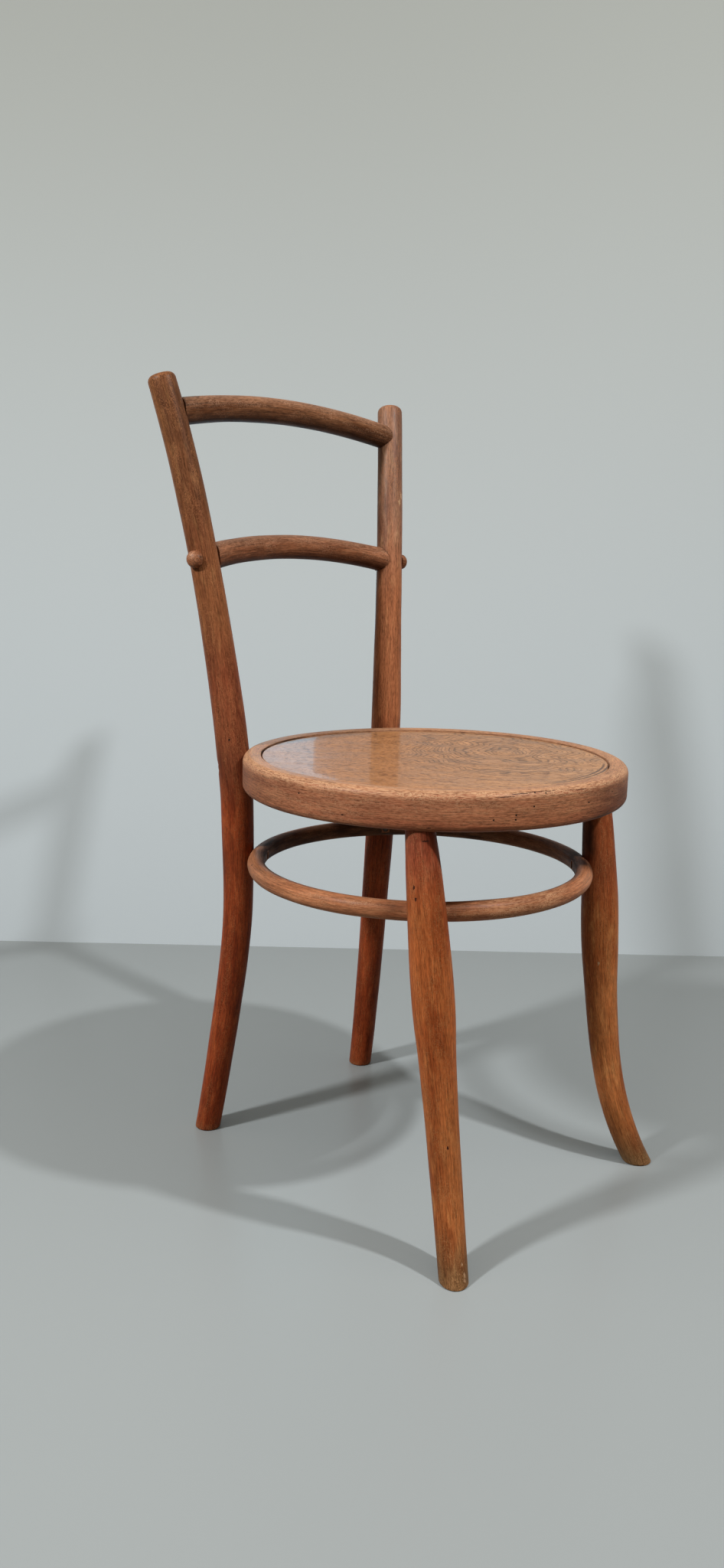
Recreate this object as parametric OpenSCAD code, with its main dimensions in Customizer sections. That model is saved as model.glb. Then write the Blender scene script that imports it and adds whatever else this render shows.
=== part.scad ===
// Bentwood bistro chair. Two long back legs run up past the seat as the back
// posts, two front legs are tenoned into a bent seat ring, a pressed plywood
// panel lies in the ring's rebate, a bent hoop ties the four legs, and two
// arched cross rails close the back. Millimetres, +Z up, the sitter faces -Y
// and sits with the left hand towards +X. The origin is on the floor, under
// the middle of the chair's bounding box.

/* [Seat] */
// Outside diameter of the seat ring
seat_d = 404; // [384:1:424]
// Height of the seat ring's top above the floor
seat_h = 458.5; // [445:0.5:470]
// Width of the seat ring, from its outer to its inner face
ring_w = 37; // [35:0.5:40]
// Height of the seat ring
ring_t = 38.5; // [35:0.5:42]
// Radius of the ring's top outer edge
ring_top_round = 9; // [6:0.5:10]
// Radius of the ring's bottom outer edge
ring_low_round = 7; // [4:0.5:8]
// Radius of the ring's bottom inner edge
ring_inner_round = 3; // [1:0.5:5]
// Drop of the ring's top face from its outer edge to its lip
ring_slope = 1.2; // [0:0.1:2]
// Radius of the easing on the ring's lip
lip_round = 1.5; // [0.5:0.1:2.5]
// Width of the ledge that carries the panel
ledge_w = 13; // [10:0.5:15]
// Depth of the ledge below the ring's top
ledge_depth = 10; // [8:0.5:12]
// Thickness of the plywood panel
panel_t = 5.5; // [4:0.5:6.5]
// Gap between the panel's edge and the ring's lip
panel_gap = 1.2; // [0.3:0.1:2]
// Depth to which the middle of the panel is pressed down
panel_dish = 2; // [1:0.25:4]
// Distance of the panel's pressed middle inside the ring's inner face
dish_margin = 1; // [0.6:0.1:6]

/* [Back legs] */
// Height of the back posts
back_h = 845; // [820:1:880]
// Direction of the back legs from the seat's centre, in degrees from +X
back_angle = 56; // [53:0.5:59]
// How far the back feet stand outside the legs' places at the seat
back_foot_out = 8.1; // [-2:0.1:18]
// How far the back feet stand behind the legs' places at the seat
back_foot_behind = 38.3; // [24:0.1:54]
// Height of the shin
back_shin_h = 110; // [90:1:130]
// How far the shin lies outside the leg's place at the seat
back_shin_out = 0.6; // [-4:0.1:5.5]
// How far the shin lies behind the leg's place at the seat
back_shin_behind = 20.8; // [14:0.1:27]
// Height of the knee, where the back legs come closest together
back_knee_h = 245; // [220:1:265]
// How far the knee lies outside the leg's place at the seat
back_knee_out = -7.15; // [-10.9:0.05:-2]
// How far the knee lies behind the leg's place at the seat
back_knee_behind = 4.3; // [-0.7:0.1:9.3]
// Height of the posts' waist above the seat ring's top
waist_rise = 141.5; // [116:0.5:156]
// How far the waist lies outside the leg's place at the seat
waist_out = 16.6; // [12:0.1:21]
// How far the waist lies behind the leg's place at the seat
waist_behind = 15.3; // [9.3:0.1:21.3]
// Distance from the posts' tips down to their shoulder, between the two rails
shoulder_drop = 105; // [85:1:125]
// How far the shoulder lies outside the leg's place at the seat
shoulder_out = 35.6; // [30:0.1:41]
// How far the shoulder lies behind the leg's place at the seat
shoulder_behind = 34.8; // [27:0.1:41]
// How far the tips stand outside the legs' places at the seat
tip_out = 54.1; // [48:0.1:60]
// How far the tips stand behind the legs' places at the seat
tip_behind = 55.8; // [47:0.1:65]
// Thickness of a back leg at the foot
back_foot_d = 28.4; // [26:0.2:32]
// Thickness of a back leg at the knee
back_knee_d = 32.4; // [30:0.2:35]
// Thickness of a back leg at the seat, where it is thickest
back_seat_d = 36; // [33:0.5:39]
// Thickness of a back leg at the waist
waist_d = 32; // [30:0.2:34]
// Thickness of a back leg at the shoulder
shoulder_d = 30.4; // [29.5:0.1:33]
// Thickness of a back leg at the tip
tip_d = 29.6; // [29:0.1:33]
// Radius of the rounding at the posts' tips
tip_round = 5; // [2:0.5:8]

/* [Front legs] */
// Direction of the front legs from the seat's centre, in degrees from +X
front_angle = -36.5; // [-39:0.5:-34]
// Direction of the front legs from the hoop's centre, in degrees from +X
front_hoop_angle = -43; // [-45:0.5:-41]
// How far the front feet stand outside the legs' tops
front_foot_out = 15.5; // [7.5:0.1:22.5]
// How far the front feet stand before the legs' tops
front_foot_before = 71.85; // [62:0.05:81]
// Height of the front legs' ankle
ankle_h = 80; // [70:1:95]
// How far the ankle lies outside the leg's top
ankle_out = -2.5; // [-7.5:0.1:2.5]
// How far the ankle lies before the leg's top
ankle_before = 44.85; // [38:0.05:51]
// Height of the front legs' calf
calf_h = 180; // [165:1:195]
// How far the calf lies outside the leg's top
calf_out = -6.75; // [-10.5:0.05:-3]
// How far the calf lies before the leg's top
calf_before = 27.35; // [21:0.05:33]
// Thickness of a front leg at the foot
front_foot_d = 28.2; // [26:0.2:31]
// Thickness of a front leg at the calf
calf_d = 34.6; // [32:0.2:37]
// Height of the front legs' swelling
swell_h = 272; // [262:1:285]
// Thickness of a front leg at its swelling
swell_d = 41; // [38:0.5:43]
// Thickness of a front leg under the seat ring
front_top_d = 28; // [26:0.5:30]
// Diameter of the tenon on top of a front leg
leg_tenon_d = 20; // [16:0.5:22]
// Length of the tenon on top of a front leg
leg_tenon_l = 24; // [18:0.5:24]

/* [Hoop] */
// Height of the hoop's middle above the floor
hoop_h = 335.5; // [325:0.5:345]
// Distance of the hoop's middle line inside the seat's edge
hoop_inset = 25.5; // [20:0.5:32]
// Distance of the hoop's centre behind the seat's centre
hoop_set = 16; // [13:0.5:19]
// Thickness of the hoop's round section
hoop_t = 19.4; // [18:0.2:22]
// Depth of the flat that runs round the inside of the hoop
hoop_flat = 1.6; // [0.5:0.1:2.5]
// Depth to which the hoop is let into the back legs
hoop_let_back = 1.5; // [0.5:0.1:3]
// Depth to which the hoop is let into the front legs
hoop_let_front = 6; // [4:0.1:8]
// Depth to which the seat ring is let into the back legs
seat_let = 2; // [1:0.1:3]
// Direction of the back legs from the hoop's centre, in degrees from +X
back_hoop_angle = 54.7; // [52:0.1:57]

/* [Rails] */
// Distance from the posts' tips down to the top rail's ends
top_rail_drop = 41; // [33:0.5:55]
// Rise of the top rail's middle above its ends
top_rail_crown = 17; // [8:0.5:26]
// Bow of the top rail's middle behind its ends
top_rail_bow = 12; // [5:0.5:25]
// Thickness of the top rail at its ends
top_rail_end_d = 28; // [24:0.2:28.6]
// Thickness of the top rail at its middle
top_rail_mid_d = 28; // [24:0.2:31]
// Distance from the top rail's ends down to the middle rail's ends
rail_spacing = 147.5; // [132:0.5:164]
// Rise of the middle rail's middle above its ends
mid_rail_crown = 14.5; // [6:0.5:24]
// Bow of the middle rail's middle behind its ends
mid_rail_bow = 20; // [10:0.5:28]
// Thickness of the middle rail at its ends
mid_rail_end_d = 27.6; // [24:0.2:28.6]
// Thickness of the middle rail at its middle
mid_rail_mid_d = 27; // [24:0.2:31]
// Diameter of the tenons on the rails' ends
rail_tenon_d = 14; // [11:0.5:16]
// Depth to which the tenons reach into the posts
rail_tenon_l = 9; // [6:0.5:10]

/* [Fittings] */
// Diameter of the wooden cover buttons
button_d = 18; // [15:0.5:20]
// Height of a cover button above the post
button_h = 8; // [5:0.5:10]
// Height of the straight side under a cover button's dome
button_side_h = 1; // [0.5:0.1:2]
// Diameter of a cover button's stem
button_stem_d = 10; // [9:0.5:12]
// Length of a cover button's stem
button_stem_l = 3; // [2:0.5:4]
// Thickness of the screws that hold the middle rail
rail_screw_d = 4.5; // [4:0.1:5.5]
// Length of the screws that hold the middle rail, under the head
rail_screw_l = 44; // [36:1:50]
// Diameter of the rail screws' heads
rail_screw_head_d = 8.6; // [7.5:0.1:8.8]
// Height of the rail screws' heads
rail_screw_head_h = 3; // [2:0.1:3.5]
// Thickness of the screws that hold the hoop
hoop_screw_d = 4; // [3.5:0.1:5]
// Length of the screws that hold the hoop, under the head
hoop_screw_l = 28; // [24:0.5:30]
// Diameter of the hoop screws' heads
hoop_screw_head_d = 8; // [7:0.1:9]
// Depth of the hoop screws' heads below the hoop's inner flat
hoop_screw_sink = 1; // [0.5:0.1:2]
// Width of the slot in the hoop screws' heads
screw_slot_w = 1.2; // [0.8:0.1:1.6]
// Thickness of the seat bolts
bolt_d = 8; // [7:0.5:9]
// Diameter of the seat bolts' domed heads
bolt_head_d = 20; // [18:0.5:22]
// Height of the seat bolts' domed heads
bolt_head_h = 4.5; // [3:0.5:6]
// Width of the square neck under the bolts' heads
bolt_neck_w = 8.4; // [8:0.1:10]
// Length of the square neck under the bolts' heads
bolt_neck_l = 5; // [4:0.5:7]
// Depth of the recess bored into the post for a bolt's head
bolt_head_sink = 4.5; // [1:0.25:5]
// Diameter of the washers under the seat nuts
washer_d = 22; // [18:0.5:24]
// Thickness of the washers
washer_t = 1.6; // [1.2:0.1:2]
// Depth of the flat cut into the ring's inner face for a washer
washer_sink = 1; // [0.6:0.1:2]
// Width of the seat nuts across their flats
nut_w = 13; // [12:0.5:15]
// Height of the seat nuts
nut_h = 6.5; // [5:0.5:8]
// Length of bolt that shows past the nut
bolt_past_nut = 3; // [1:0.5:4]

/* [Fits] */
// Gap between a piece and the housing cut for it
housing_gap = 0.15; // [0.1:0.05:0.3]
// Gap round a tenon, a stem or a bolt in its hole, on the radius
hole_gap = 0.15; // [0.1:0.05:0.3]
// Gap past the end of a tenon or screw in a blind hole
end_gap = 0.5; // [0.3:0.1:1]

/* [Hidden] */

$fn = 96;
arc_sides = 4000;
leg_sides = 24;
level_step = 20;
foot_round = 1.2;
tiny = 0.01;

leg_wood = "#8f4f2a";
ring_wood = "#a5683c";
panel_wood = "#b98a5c";
iron = "#6e6a64";

seat_r = seat_d / 2;
ring_inner_r = seat_r - ring_w;
lip_r = ring_inner_r + ledge_w;
panel_r = lip_r - panel_gap;
ring_low_z = seat_h - ring_t;
ledge_z = seat_h - ledge_depth;
lip_z = seat_h - ring_slope;
bolt_z = ring_low_z + (ledge_z - ring_low_z) / 2;
hoop_r = seat_r - hoop_inset;
hoop_centre = [0, hoop_set];
waist_h = seat_h + waist_rise;
shoulder_h = back_h - shoulder_drop;
top_rail_h = back_h - top_rail_drop;
mid_rail_h = top_rail_h - rail_spacing;

// A smooth curve through stations [height, value]: a cubic between each two,
// with the slope at a station taken from its neighbours.
function chord(s, k) = (s[k + 1][1] - s[k][1]) / (s[k + 1][0] - s[k][0]);
function slope(s, k) =
    k == 0 ? 2 * chord(s, 0) - slope(s, 1)
    : k == len(s) - 1 ? 2 * chord(s, k - 1) - slope(s, k - 1)
    : (s[k + 1][1] - s[k - 1][1]) / (s[k + 1][0] - s[k - 1][0]);
function span(s, z, k = 0) = k < len(s) - 2 && z > s[k + 1][0] ? span(s, z, k + 1) : k;
function along(s, z) =
    let (k = span(s, z), h = s[k + 1][0] - s[k][0], t = (z - s[k][0]) / h)
    s[k][1] * (1 + 2 * t) * pow(1 - t, 2) + slope(s, k) * h * t * pow(1 - t, 2)
    + s[k + 1][1] * t * t * (3 - 2 * t) + slope(s, k + 1) * h * t * t * (t - 1);
function lean(s, z) = (along(s, z + 1) - along(s, z - 1)) / 2;
function toward(angle, reach) = reach * [cos(angle), sin(angle)];

// Radius of a leg at each height
back_girth = [
    [0, back_foot_d / 2], [back_knee_h, back_knee_d / 2], [bolt_z, back_seat_d / 2],
    [waist_h, waist_d / 2], [shoulder_h, shoulder_d / 2], [back_h, tip_d / 2]
];
front_girth = [
    [0, front_foot_d / 2], [calf_h, calf_d / 2],
    [swell_h, swell_d / 2], [ring_low_z, front_top_d / 2]
];

// Places where the legs bear on the hoop and on the seat ring
back_seat_reach = seat_r + back_seat_d / 2 - seat_let;
hoop_outer_r = hoop_r + hoop_t / 2;
back_hoop_reach = hoop_outer_r + along(back_girth, hoop_h) - hoop_let_back;
front_hoop_reach = hoop_outer_r + along(front_girth, hoop_h) - hoop_let_front;
back_at_seat = toward(back_angle, back_seat_reach);
front_at_seat = toward(front_angle, seat_r - ring_w / 2);

// Axis of the left back leg and of the left front leg, [x, y] at each height
back_path = [
    [0, back_at_seat + [back_foot_out, back_foot_behind]],
    [back_shin_h, back_at_seat + [back_shin_out, back_shin_behind]],
    [back_knee_h, back_at_seat + [back_knee_out, back_knee_behind]],
    [hoop_h, hoop_centre + toward(back_hoop_angle, back_hoop_reach)],
    [bolt_z, back_at_seat],
    [waist_h, back_at_seat + [waist_out, waist_behind]],
    [shoulder_h, back_at_seat + [shoulder_out, shoulder_behind]],
    [back_h, back_at_seat + [tip_out, tip_behind]]
];
front_path = [
    [0, front_at_seat + [front_foot_out, -front_foot_before]],
    [ankle_h, front_at_seat + [ankle_out, -ankle_before]],
    [calf_h, front_at_seat + [calf_out, -calf_before]],
    [hoop_h, hoop_centre + toward(front_hoop_angle, front_hoop_reach)],
    [ring_low_z, front_at_seat]
];

// Levels of a leg as [height, change of radius]: an eased foot, even steps and
// a tip rounded by a quarter circle of radius ease, or left square
function levels(top, ease) =
    let (low = foot_round, high = top - ease, steps = ceil((high - low) / level_step))
    concat(
        [[0, -foot_round]],
        [for (k = [0:steps]) [low + (high - low) * k / steps, 0]],
        [if (ease > 0) for (a = [22.5:22.5:90]) [high + ease * sin(a), ease * (cos(a) - 1)]]
    );

// Turn of a level: 0 up to the posts' shoulder, where a level is cut flat, and
// 1 from the tip's rounding on, where it is cut square to the leaning axis
function turn_at(z) =
    let (t = min(1, max(0, (z - shoulder_h) / (tip_h - tip_round - shoulder_h))))
    t * t * (3 - 2 * t);

// Points of a leg, level by level. A flat level is stretched along the lean so
// that the section square to the axis stays round, and a turned one is slid
// along the axis, point by point.
function leg_points(path, girth, rows) = [
    for (row = rows)
        let (c = along(path, row[0]), m = lean(path, row[0]), r = along(girth, row[0]) + row[1])
        let (stretch = sqrt(1 + m * m), turn = turn_at(row[0]))
        for (i = [0:leg_sides - 1])
            let (d = toward(360 * i / leg_sides, 1), slide = turn * r * (d * m) / stretch)
            let (p = c + r * (d + (d * m) * m / (1 + stretch)) - slide * m)
            [p.x, p.y, row[0] - slide]
];

// Height of the axis at the posts' tips, whose rounded inner edge reaches back_h
tip_lean = atan(norm(lean(back_path, back_h)));
tip_h = back_h - (tip_d / 2 - tip_round) * sin(tip_lean)
    - tip_round * (sqrt(1 + pow(sin(tip_lean), 2)) - 1);

// Faces of a tube whose rings follow one another, with flat ends
function tube_faces(rings, n) = concat(
    [[for (i = [0:n - 1]) i]],
    [[for (i = [0:n - 1]) rings * n - 1 - i]],
    [for (k = [0:rings - 2]) for (i = [0:n - 1])
        let (j = (i + 1) % n)
        [k * n + i, (k + 1) * n + i, (k + 1) * n + j]],
    [for (k = [0:rings - 2]) for (i = [0:n - 1])
        let (j = (i + 1) % n)
        [k * n + i, (k + 1) * n + j, k * n + j]]
);

back_rows = levels(tip_h, tip_round);
front_rows = levels(ring_low_z, 0);
back_points = leg_points(back_path, back_girth, back_rows);
front_points = leg_points(front_path, front_girth, front_rows);

// A rail as [height of its ends, crown, bow, end radius, middle radius]
top_rail_form = [
    top_rail_h, top_rail_crown, top_rail_bow, top_rail_end_d / 2, top_rail_mid_d / 2
];
mid_rail_form = [
    mid_rail_h, mid_rail_crown, mid_rail_bow, mid_rail_end_d / 2, mid_rail_mid_d / 2
];
rail_steps = 24;

function rail_end(form) = let (p = along(back_path, form[0])) [p.x, p.y, form[0]];
function rail_axis(form, u) =
    let (e = rail_end(form), rise = 1 - u * u)
    [u * e.x, e.y + form[2] * rise, e.z + form[1] * rise];
function rail_run(form, u) = [rail_end(form).x, -2 * u * form[2], -2 * u * form[1]];
function rail_points(form) = [
    for (k = [0:rail_steps])
        let (u = 2 * k / rail_steps - 1, t = rail_run(form, u), t1 = t / norm(t))
        let (side = cross([0, 0, 1], t1), e1 = side / norm(side), e2 = cross(t1, e1))
        let (r = form[3] + (form[4] - form[3]) * (1 - u * u))
        for (i = [0:leg_sides - 1])
            let (a = 360 * i / leg_sides)
            rail_axis(form, u) + r * (cos(a) * e1 + sin(a) * e2)
];
// Direction of a rail's left end in plan, in degrees from +X
function rail_angle(form) = -atan(2 * form[2] / rail_end(form).x);
function post_r(z) = along(back_girth, z);

// The chair is moved along Y so that the origin is under its middle
back_most = concat(back_points, rail_points(top_rail_form), rail_points(mid_rail_form));
back_reach = max([for (p = back_most) p.y]);
front_reach = max(seat_r, max([for (p = front_points) -p.y]));
middle_y = (back_reach - front_reach) / 2;

// Puts the children's +Z on a level line that leaves centre at an angle in plan
module outward(centre, angle) {
    translate(centre) rotate([0, 90, angle]) children();
}

module from_seat(angle) {
    outward([0, 0, bolt_z], angle) children();
}

module from_hoop(angle) {
    outward([0, hoop_set, hoop_h], angle) children();
}

// Places a piece of the left side, or its twin on the right side
module on_side(side) {
    translate([0, -middle_y, 0]) mirror([side == "left" ? 0 : 1, 0, 0]) children();
}

module centred() {
    translate([0, -middle_y, 0]) children();
}

// A disc or rod from z = low to z = high, of radius r
module rod(r, low, high) {
    translate([0, 0, low]) cylinder(r = r, h = high - low);
}

// Section of the seat ring's outside, filled to the chair's axis and grown by g
module ring_outline(g) {
    top_r = ring_top_round + g;
    low_r = ring_low_round + g;
    side_r = seat_r + g;
    top_z = seat_h + g;
    low_z = ring_low_z - g;
    translate([0, low_z]) square([side_r - low_r, low_r + tiny]);
    translate([side_r - low_r, low_z + low_r]) circle(r = low_r);
    translate([0, low_z + low_r]) square([side_r, top_z - top_r - low_z - low_r]);
    translate([side_r - top_r, top_z - top_r]) circle(r = top_r);
    translate([0, top_z - top_r - tiny]) square([side_r - top_r, top_r + tiny]);
}

// Section of the seat ring: sloping top, lip, ledge and eased inner edge
module ring_section() {
    crest_r = seat_r - ring_top_round;
    difference() {
        ring_outline(0);
        translate([-tiny, ledge_z]) square([lip_r + tiny, ledge_depth + 1]);
        translate([-tiny, ring_low_z - 1]) square([ring_inner_r + tiny, ring_t + 1]);
        polygon([
            [crest_r, seat_h], [lip_r + lip_round, lip_z], [lip_r - tiny, lip_z],
            [lip_r - tiny, seat_h + 1], [crest_r, seat_h + 1]
        ]);
        difference() {
            translate([lip_r - tiny, lip_z - lip_round]) square(lip_round + tiny);
            translate([lip_r + lip_round, lip_z - lip_round]) circle(r = lip_round);
        }
        difference() {
            translate([ring_inner_r - tiny, ring_low_z - tiny])
                square(ring_inner_round + tiny);
            translate([ring_inner_r + ring_inner_round, ring_low_z + ring_inner_round])
                circle(r = ring_inner_round);
        }
    }
}

// Section of the hoop, grown by g: round outside, with a flat on the inside
module hoop_section(g) {
    translate([hoop_r, hoop_h])
        intersection() {
            circle(r = hoop_t / 2 + g);
            translate([hoop_flat - hoop_t / 2 - g, -hoop_t])
                square([2 * hoop_t, 2 * hoop_t]);
        }
}

module hoop_body(g) {
    translate([0, hoop_set, 0]) rotate_extrude() hoop_section(g);
}

// Flat seat for a rail's button on the post: as deep as the button is wide
function button_seat(z) = sqrt(pow(post_r(z), 2) - pow(button_d / 2, 2));

// Holes along one rail's end, measured outward from the post's axis
module rail_joint_holes(form, screwed) {
    outward(rail_end(form), rail_angle(form)) {
        rod(rail_tenon_d / 2 + hole_gap, -2 * back_seat_d, rail_tenon_top(form) + end_gap);
        if (screwed) {
            rod(rail_screw_d / 2 + hole_gap, -back_seat_d, back_seat_d);
            rod(button_stem_d / 2 + hole_gap, screw_head_low(form), back_seat_d);
            rod(button_d / 2 + hole_gap, button_seat(form[0]), 2 * back_seat_d);
        }
    }
}
function rail_tenon_top(form) = rail_tenon_l - post_r(form[0]);
function rail_tenon_root(form) = -post_r(form[0]) - rail_tenon_l;
function screw_head_low(form) =
    button_seat(form[0]) - button_stem_l - end_gap - rail_screw_head_h;

module back_leg() {
    color(leg_wood)
        difference() {
            polyhedron(back_points, tube_faces(len(back_rows), leg_sides), convexity = 4);
            rotate_extrude() ring_outline(housing_gap);
            hoop_body(housing_gap);
            rail_joint_holes(top_rail_form, false);
            rail_joint_holes(mid_rail_form, true);
            from_seat(back_angle) seat_bolt_holes();
            from_hoop(back_hoop_angle) hoop_screw_holes();
        }
}

module front_leg() {
    color(leg_wood)
        union() {
            difference() {
                polyhedron(front_points, tube_faces(len(front_rows), leg_sides), convexity = 4);
                hoop_body(housing_gap);
                from_hoop(front_hoop_angle) hoop_screw_holes();
            }
            translate(front_at_seat)
                rod(leg_tenon_d / 2, ring_low_z - 1, ring_low_z + leg_tenon_l);
        }
}

// Seat bolt, washer and nut lie on one line from the seat's centre
bolt_seat = back_seat_reach + back_seat_d / 2 - bolt_head_sink;
washer_seat = ring_inner_r - washer_sink;
nut_low = washer_seat - washer_t - nut_h;

module seat_bolt_holes() {
    rod(bolt_d / 2 + hole_gap, ring_inner_r - ring_w, bolt_seat + 1);
    rod(bolt_head_d / 2 + hole_gap, bolt_seat, bolt_seat + back_seat_d);
    neck = bolt_neck_w + 2 * hole_gap;
    translate([-neck / 2, -neck / 2, bolt_seat - bolt_neck_l - hole_gap])
        cube([neck, neck, bolt_neck_l + 1]);
}

module seat_bolt() {
    dome_r = (pow(bolt_head_d / 2, 2) + pow(bolt_head_h, 2)) / (2 * bolt_head_h);
    color(iron)
        from_seat(back_angle) {
            rod(bolt_d / 2, nut_low - bolt_past_nut, bolt_seat);
            translate([-bolt_neck_w / 2, -bolt_neck_w / 2, bolt_seat - bolt_neck_l])
                cube([bolt_neck_w, bolt_neck_w, bolt_neck_l]);
            intersection() {
                rod(bolt_head_d / 2, bolt_seat, bolt_seat + bolt_head_h);
                translate([0, 0, bolt_seat + bolt_head_h - dome_r]) sphere(r = dome_r);
            }
        }
}

module seat_washer() {
    color(iron)
        from_seat(back_angle)
            difference() {
                rod(washer_d / 2, washer_seat - washer_t, washer_seat);
                rod(bolt_d / 2 + hole_gap, washer_seat - 2 * washer_t, washer_seat + 1);
            }
}

module seat_nut() {
    color(iron)
        from_seat(back_angle)
            difference() {
                translate([0, 0, nut_low])
                    cylinder(d = nut_w / cos(30), h = nut_h, $fn = 6);
                rod(bolt_d / 2 + hole_gap, nut_low - 1, nut_low + nut_h + 1);
            }
}

module seat_ring() {
    color(ring_wood)
        difference() {
            rotate_extrude() ring_section();
            for (side = [0, 1])
                mirror([side, 0, 0]) {
                    translate(front_at_seat)
                        rod(leg_tenon_d / 2 + hole_gap, ring_low_z - 1,
                            ring_low_z + leg_tenon_l + end_gap);
                    from_seat(back_angle) {
                        rod(bolt_d / 2 + hole_gap, ring_inner_r - ring_w, seat_r + 1);
                        rod(washer_d / 2 + hole_gap, ring_inner_r - ring_w, washer_seat);
                    }
                }
        }
}

// Section of the panel: a flat rim on the ledge, and a middle pressed down
// between two equal arcs, so that the plywood keeps one thickness
module panel_section() {
    dish_r = ring_inner_r - dish_margin;
    arc_r = (pow(dish_r, 2) + pow(panel_dish, 2)) / (2 * panel_dish);
    arc_z = ledge_z + panel_t - panel_dish + arc_r;
    translate([dish_r, ledge_z]) square([panel_r - dish_r, panel_t]);
    difference() {
        intersection() {
            translate([0, ledge_z - panel_dish])
                square([dish_r + tiny, panel_t + panel_dish]);
            translate([0, arc_z - panel_t]) circle(r = arc_r, $fn = arc_sides);
        }
        translate([0, arc_z]) circle(r = arc_r, $fn = arc_sides);
    }
}

module seat_panel() {
    color(panel_wood) rotate_extrude() panel_section();
}

module leg_hoop() {
    color(leg_wood)
        difference() {
            hoop_body(0);
            for (side = [0, 1])
                mirror([side, 0, 0])
                    for (angle = [back_hoop_angle, front_hoop_angle])
                        from_hoop(angle) hoop_screw_holes();
        }
}

// Hoop screws: a countersunk head sunk in the hoop's flat, a shank and a point
hoop_screw_head = hoop_r - hoop_t / 2 + hoop_flat + hoop_screw_sink;
countersink_h = (hoop_screw_head_d - hoop_screw_d) / 2;

module hoop_screw_holes() {
    rod(hoop_screw_d / 2 + hole_gap, hoop_screw_head, hoop_screw_head + hoop_screw_l + end_gap);
    rod(hoop_screw_head_d / 2 + hole_gap, hoop_screw_head - hoop_t, hoop_screw_head);
    translate([0, 0, hoop_screw_head])
        cylinder(r1 = hoop_screw_head_d / 2 + hole_gap, r2 = hoop_screw_d / 2 + hole_gap,
                 h = countersink_h);
}

module hoop_screw(angle) {
    tip = hoop_screw_head + hoop_screw_l;
    color(iron)
        from_hoop(angle)
            difference() {
                rotate_extrude()
                    polygon([
                        [0, hoop_screw_head], [hoop_screw_head_d / 2, hoop_screw_head],
                        [hoop_screw_d / 2, hoop_screw_head + countersink_h],
                        [hoop_screw_d / 2, tip - point_l(hoop_screw_d)],
                        [hoop_screw_d / 8, tip], [0, tip]
                    ]);
                translate([-screw_slot_w / 2, -hoop_screw_head_d, hoop_screw_head - 1])
                    cube([screw_slot_w, 2 * hoop_screw_head_d, 1 + countersink_h / 2]);
            }
}
// Length of the tapered point of a screw of thickness d
function point_l(d) = 2 * d;

// A rail is coped to the posts' round and keeps a round tenon at each end
module rail(form, screwed) {
    color(leg_wood)
        difference() {
            union() {
                difference() {
                    polyhedron(rail_points(form), tube_faces(rail_steps + 1, leg_sides),
                               convexity = 4);
                    for (side = [0, 1]) mirror([side, 0, 0]) post_cope(form);
                }
                for (side = [0, 1])
                    mirror([side, 0, 0])
                        outward(rail_end(form), rail_angle(form))
                            rod(rail_tenon_d / 2, rail_tenon_root(form), rail_tenon_top(form));
            }
            if (screwed)
                for (side = [0, 1])
                    mirror([side, 0, 0])
                        outward(rail_end(form), rail_angle(form))
                            rod(rail_screw_d / 2 + hole_gap,
                                screw_head_low(form) - rail_screw_l - end_gap, back_seat_d);
        }
}

// The post's round at a rail's end, laid along the post's own lean
module post_cope(form) {
    m = lean(back_path, form[0]);
    translate(rail_end(form))
        rotate([0, atan(norm(m)), atan2(m.y, m.x)])
            cylinder(r = post_r(form[0]) + housing_gap, h = 4 * back_seat_d, center = true);
}

// Cover button: a dome on a short straight side, and a stem in the post
module rail_button() {
    seat = button_seat(mid_rail_h);
    crown = post_r(mid_rail_h) + button_h;
    dome_h = button_h - button_side_h;
    dome_r = (pow(button_d / 2, 2) + pow(dome_h, 2)) / (2 * dome_h);
    color(leg_wood)
        outward(rail_end(mid_rail_form), rail_angle(mid_rail_form)) {
            rod(button_stem_d / 2, seat - button_stem_l, seat + 1);
            intersection() {
                rod(button_d / 2, seat, crown);
                translate([0, 0, crown - dome_r]) sphere(r = dome_r);
            }
        }
}

module rail_screw() {
    low = screw_head_low(mid_rail_form);
    tip = low - rail_screw_l;
    color(iron)
        outward(rail_end(mid_rail_form), rail_angle(mid_rail_form))
            rotate_extrude()
                polygon([
                    [0, tip], [rail_screw_d / 8, tip],
                    [rail_screw_d / 2, tip + point_l(rail_screw_d)], [rail_screw_d / 2, low],
                    [rail_screw_head_d / 2, low],
                    [rail_screw_head_d / 2, low + rail_screw_head_h],
                    [0, low + rail_screw_head_h]
                ]);
}

on_side("left") back_leg();  // back_leg_left
on_side("right") back_leg();  // back_leg_right
on_side("left") front_leg();  // front_leg_left
on_side("right") front_leg();  // front_leg_right
centred() seat_ring();
centred() seat_panel();
centred() leg_hoop();
centred() rail(top_rail_form, false);  // top_rail
centred() rail(mid_rail_form, true);  // middle_rail
on_side("left") rail_button();  // rail_button_left
on_side("right") rail_button();  // rail_button_right
on_side("left") rail_screw();  // rail_screw_left
on_side("right") rail_screw();  // rail_screw_right
on_side("left") seat_bolt();  // seat_bolt_left
on_side("right") seat_bolt();  // seat_bolt_right
on_side("left") seat_washer();  // seat_washer_left
on_side("right") seat_washer();  // seat_washer_right
on_side("left") seat_nut();  // seat_nut_left
on_side("right") seat_nut();  // seat_nut_right
on_side("left") hoop_screw(back_hoop_angle);  // hoop_screw_back_left
on_side("right") hoop_screw(back_hoop_angle);  // hoop_screw_back_right
on_side("left") hoop_screw(front_hoop_angle);  // hoop_screw_front_left
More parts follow.
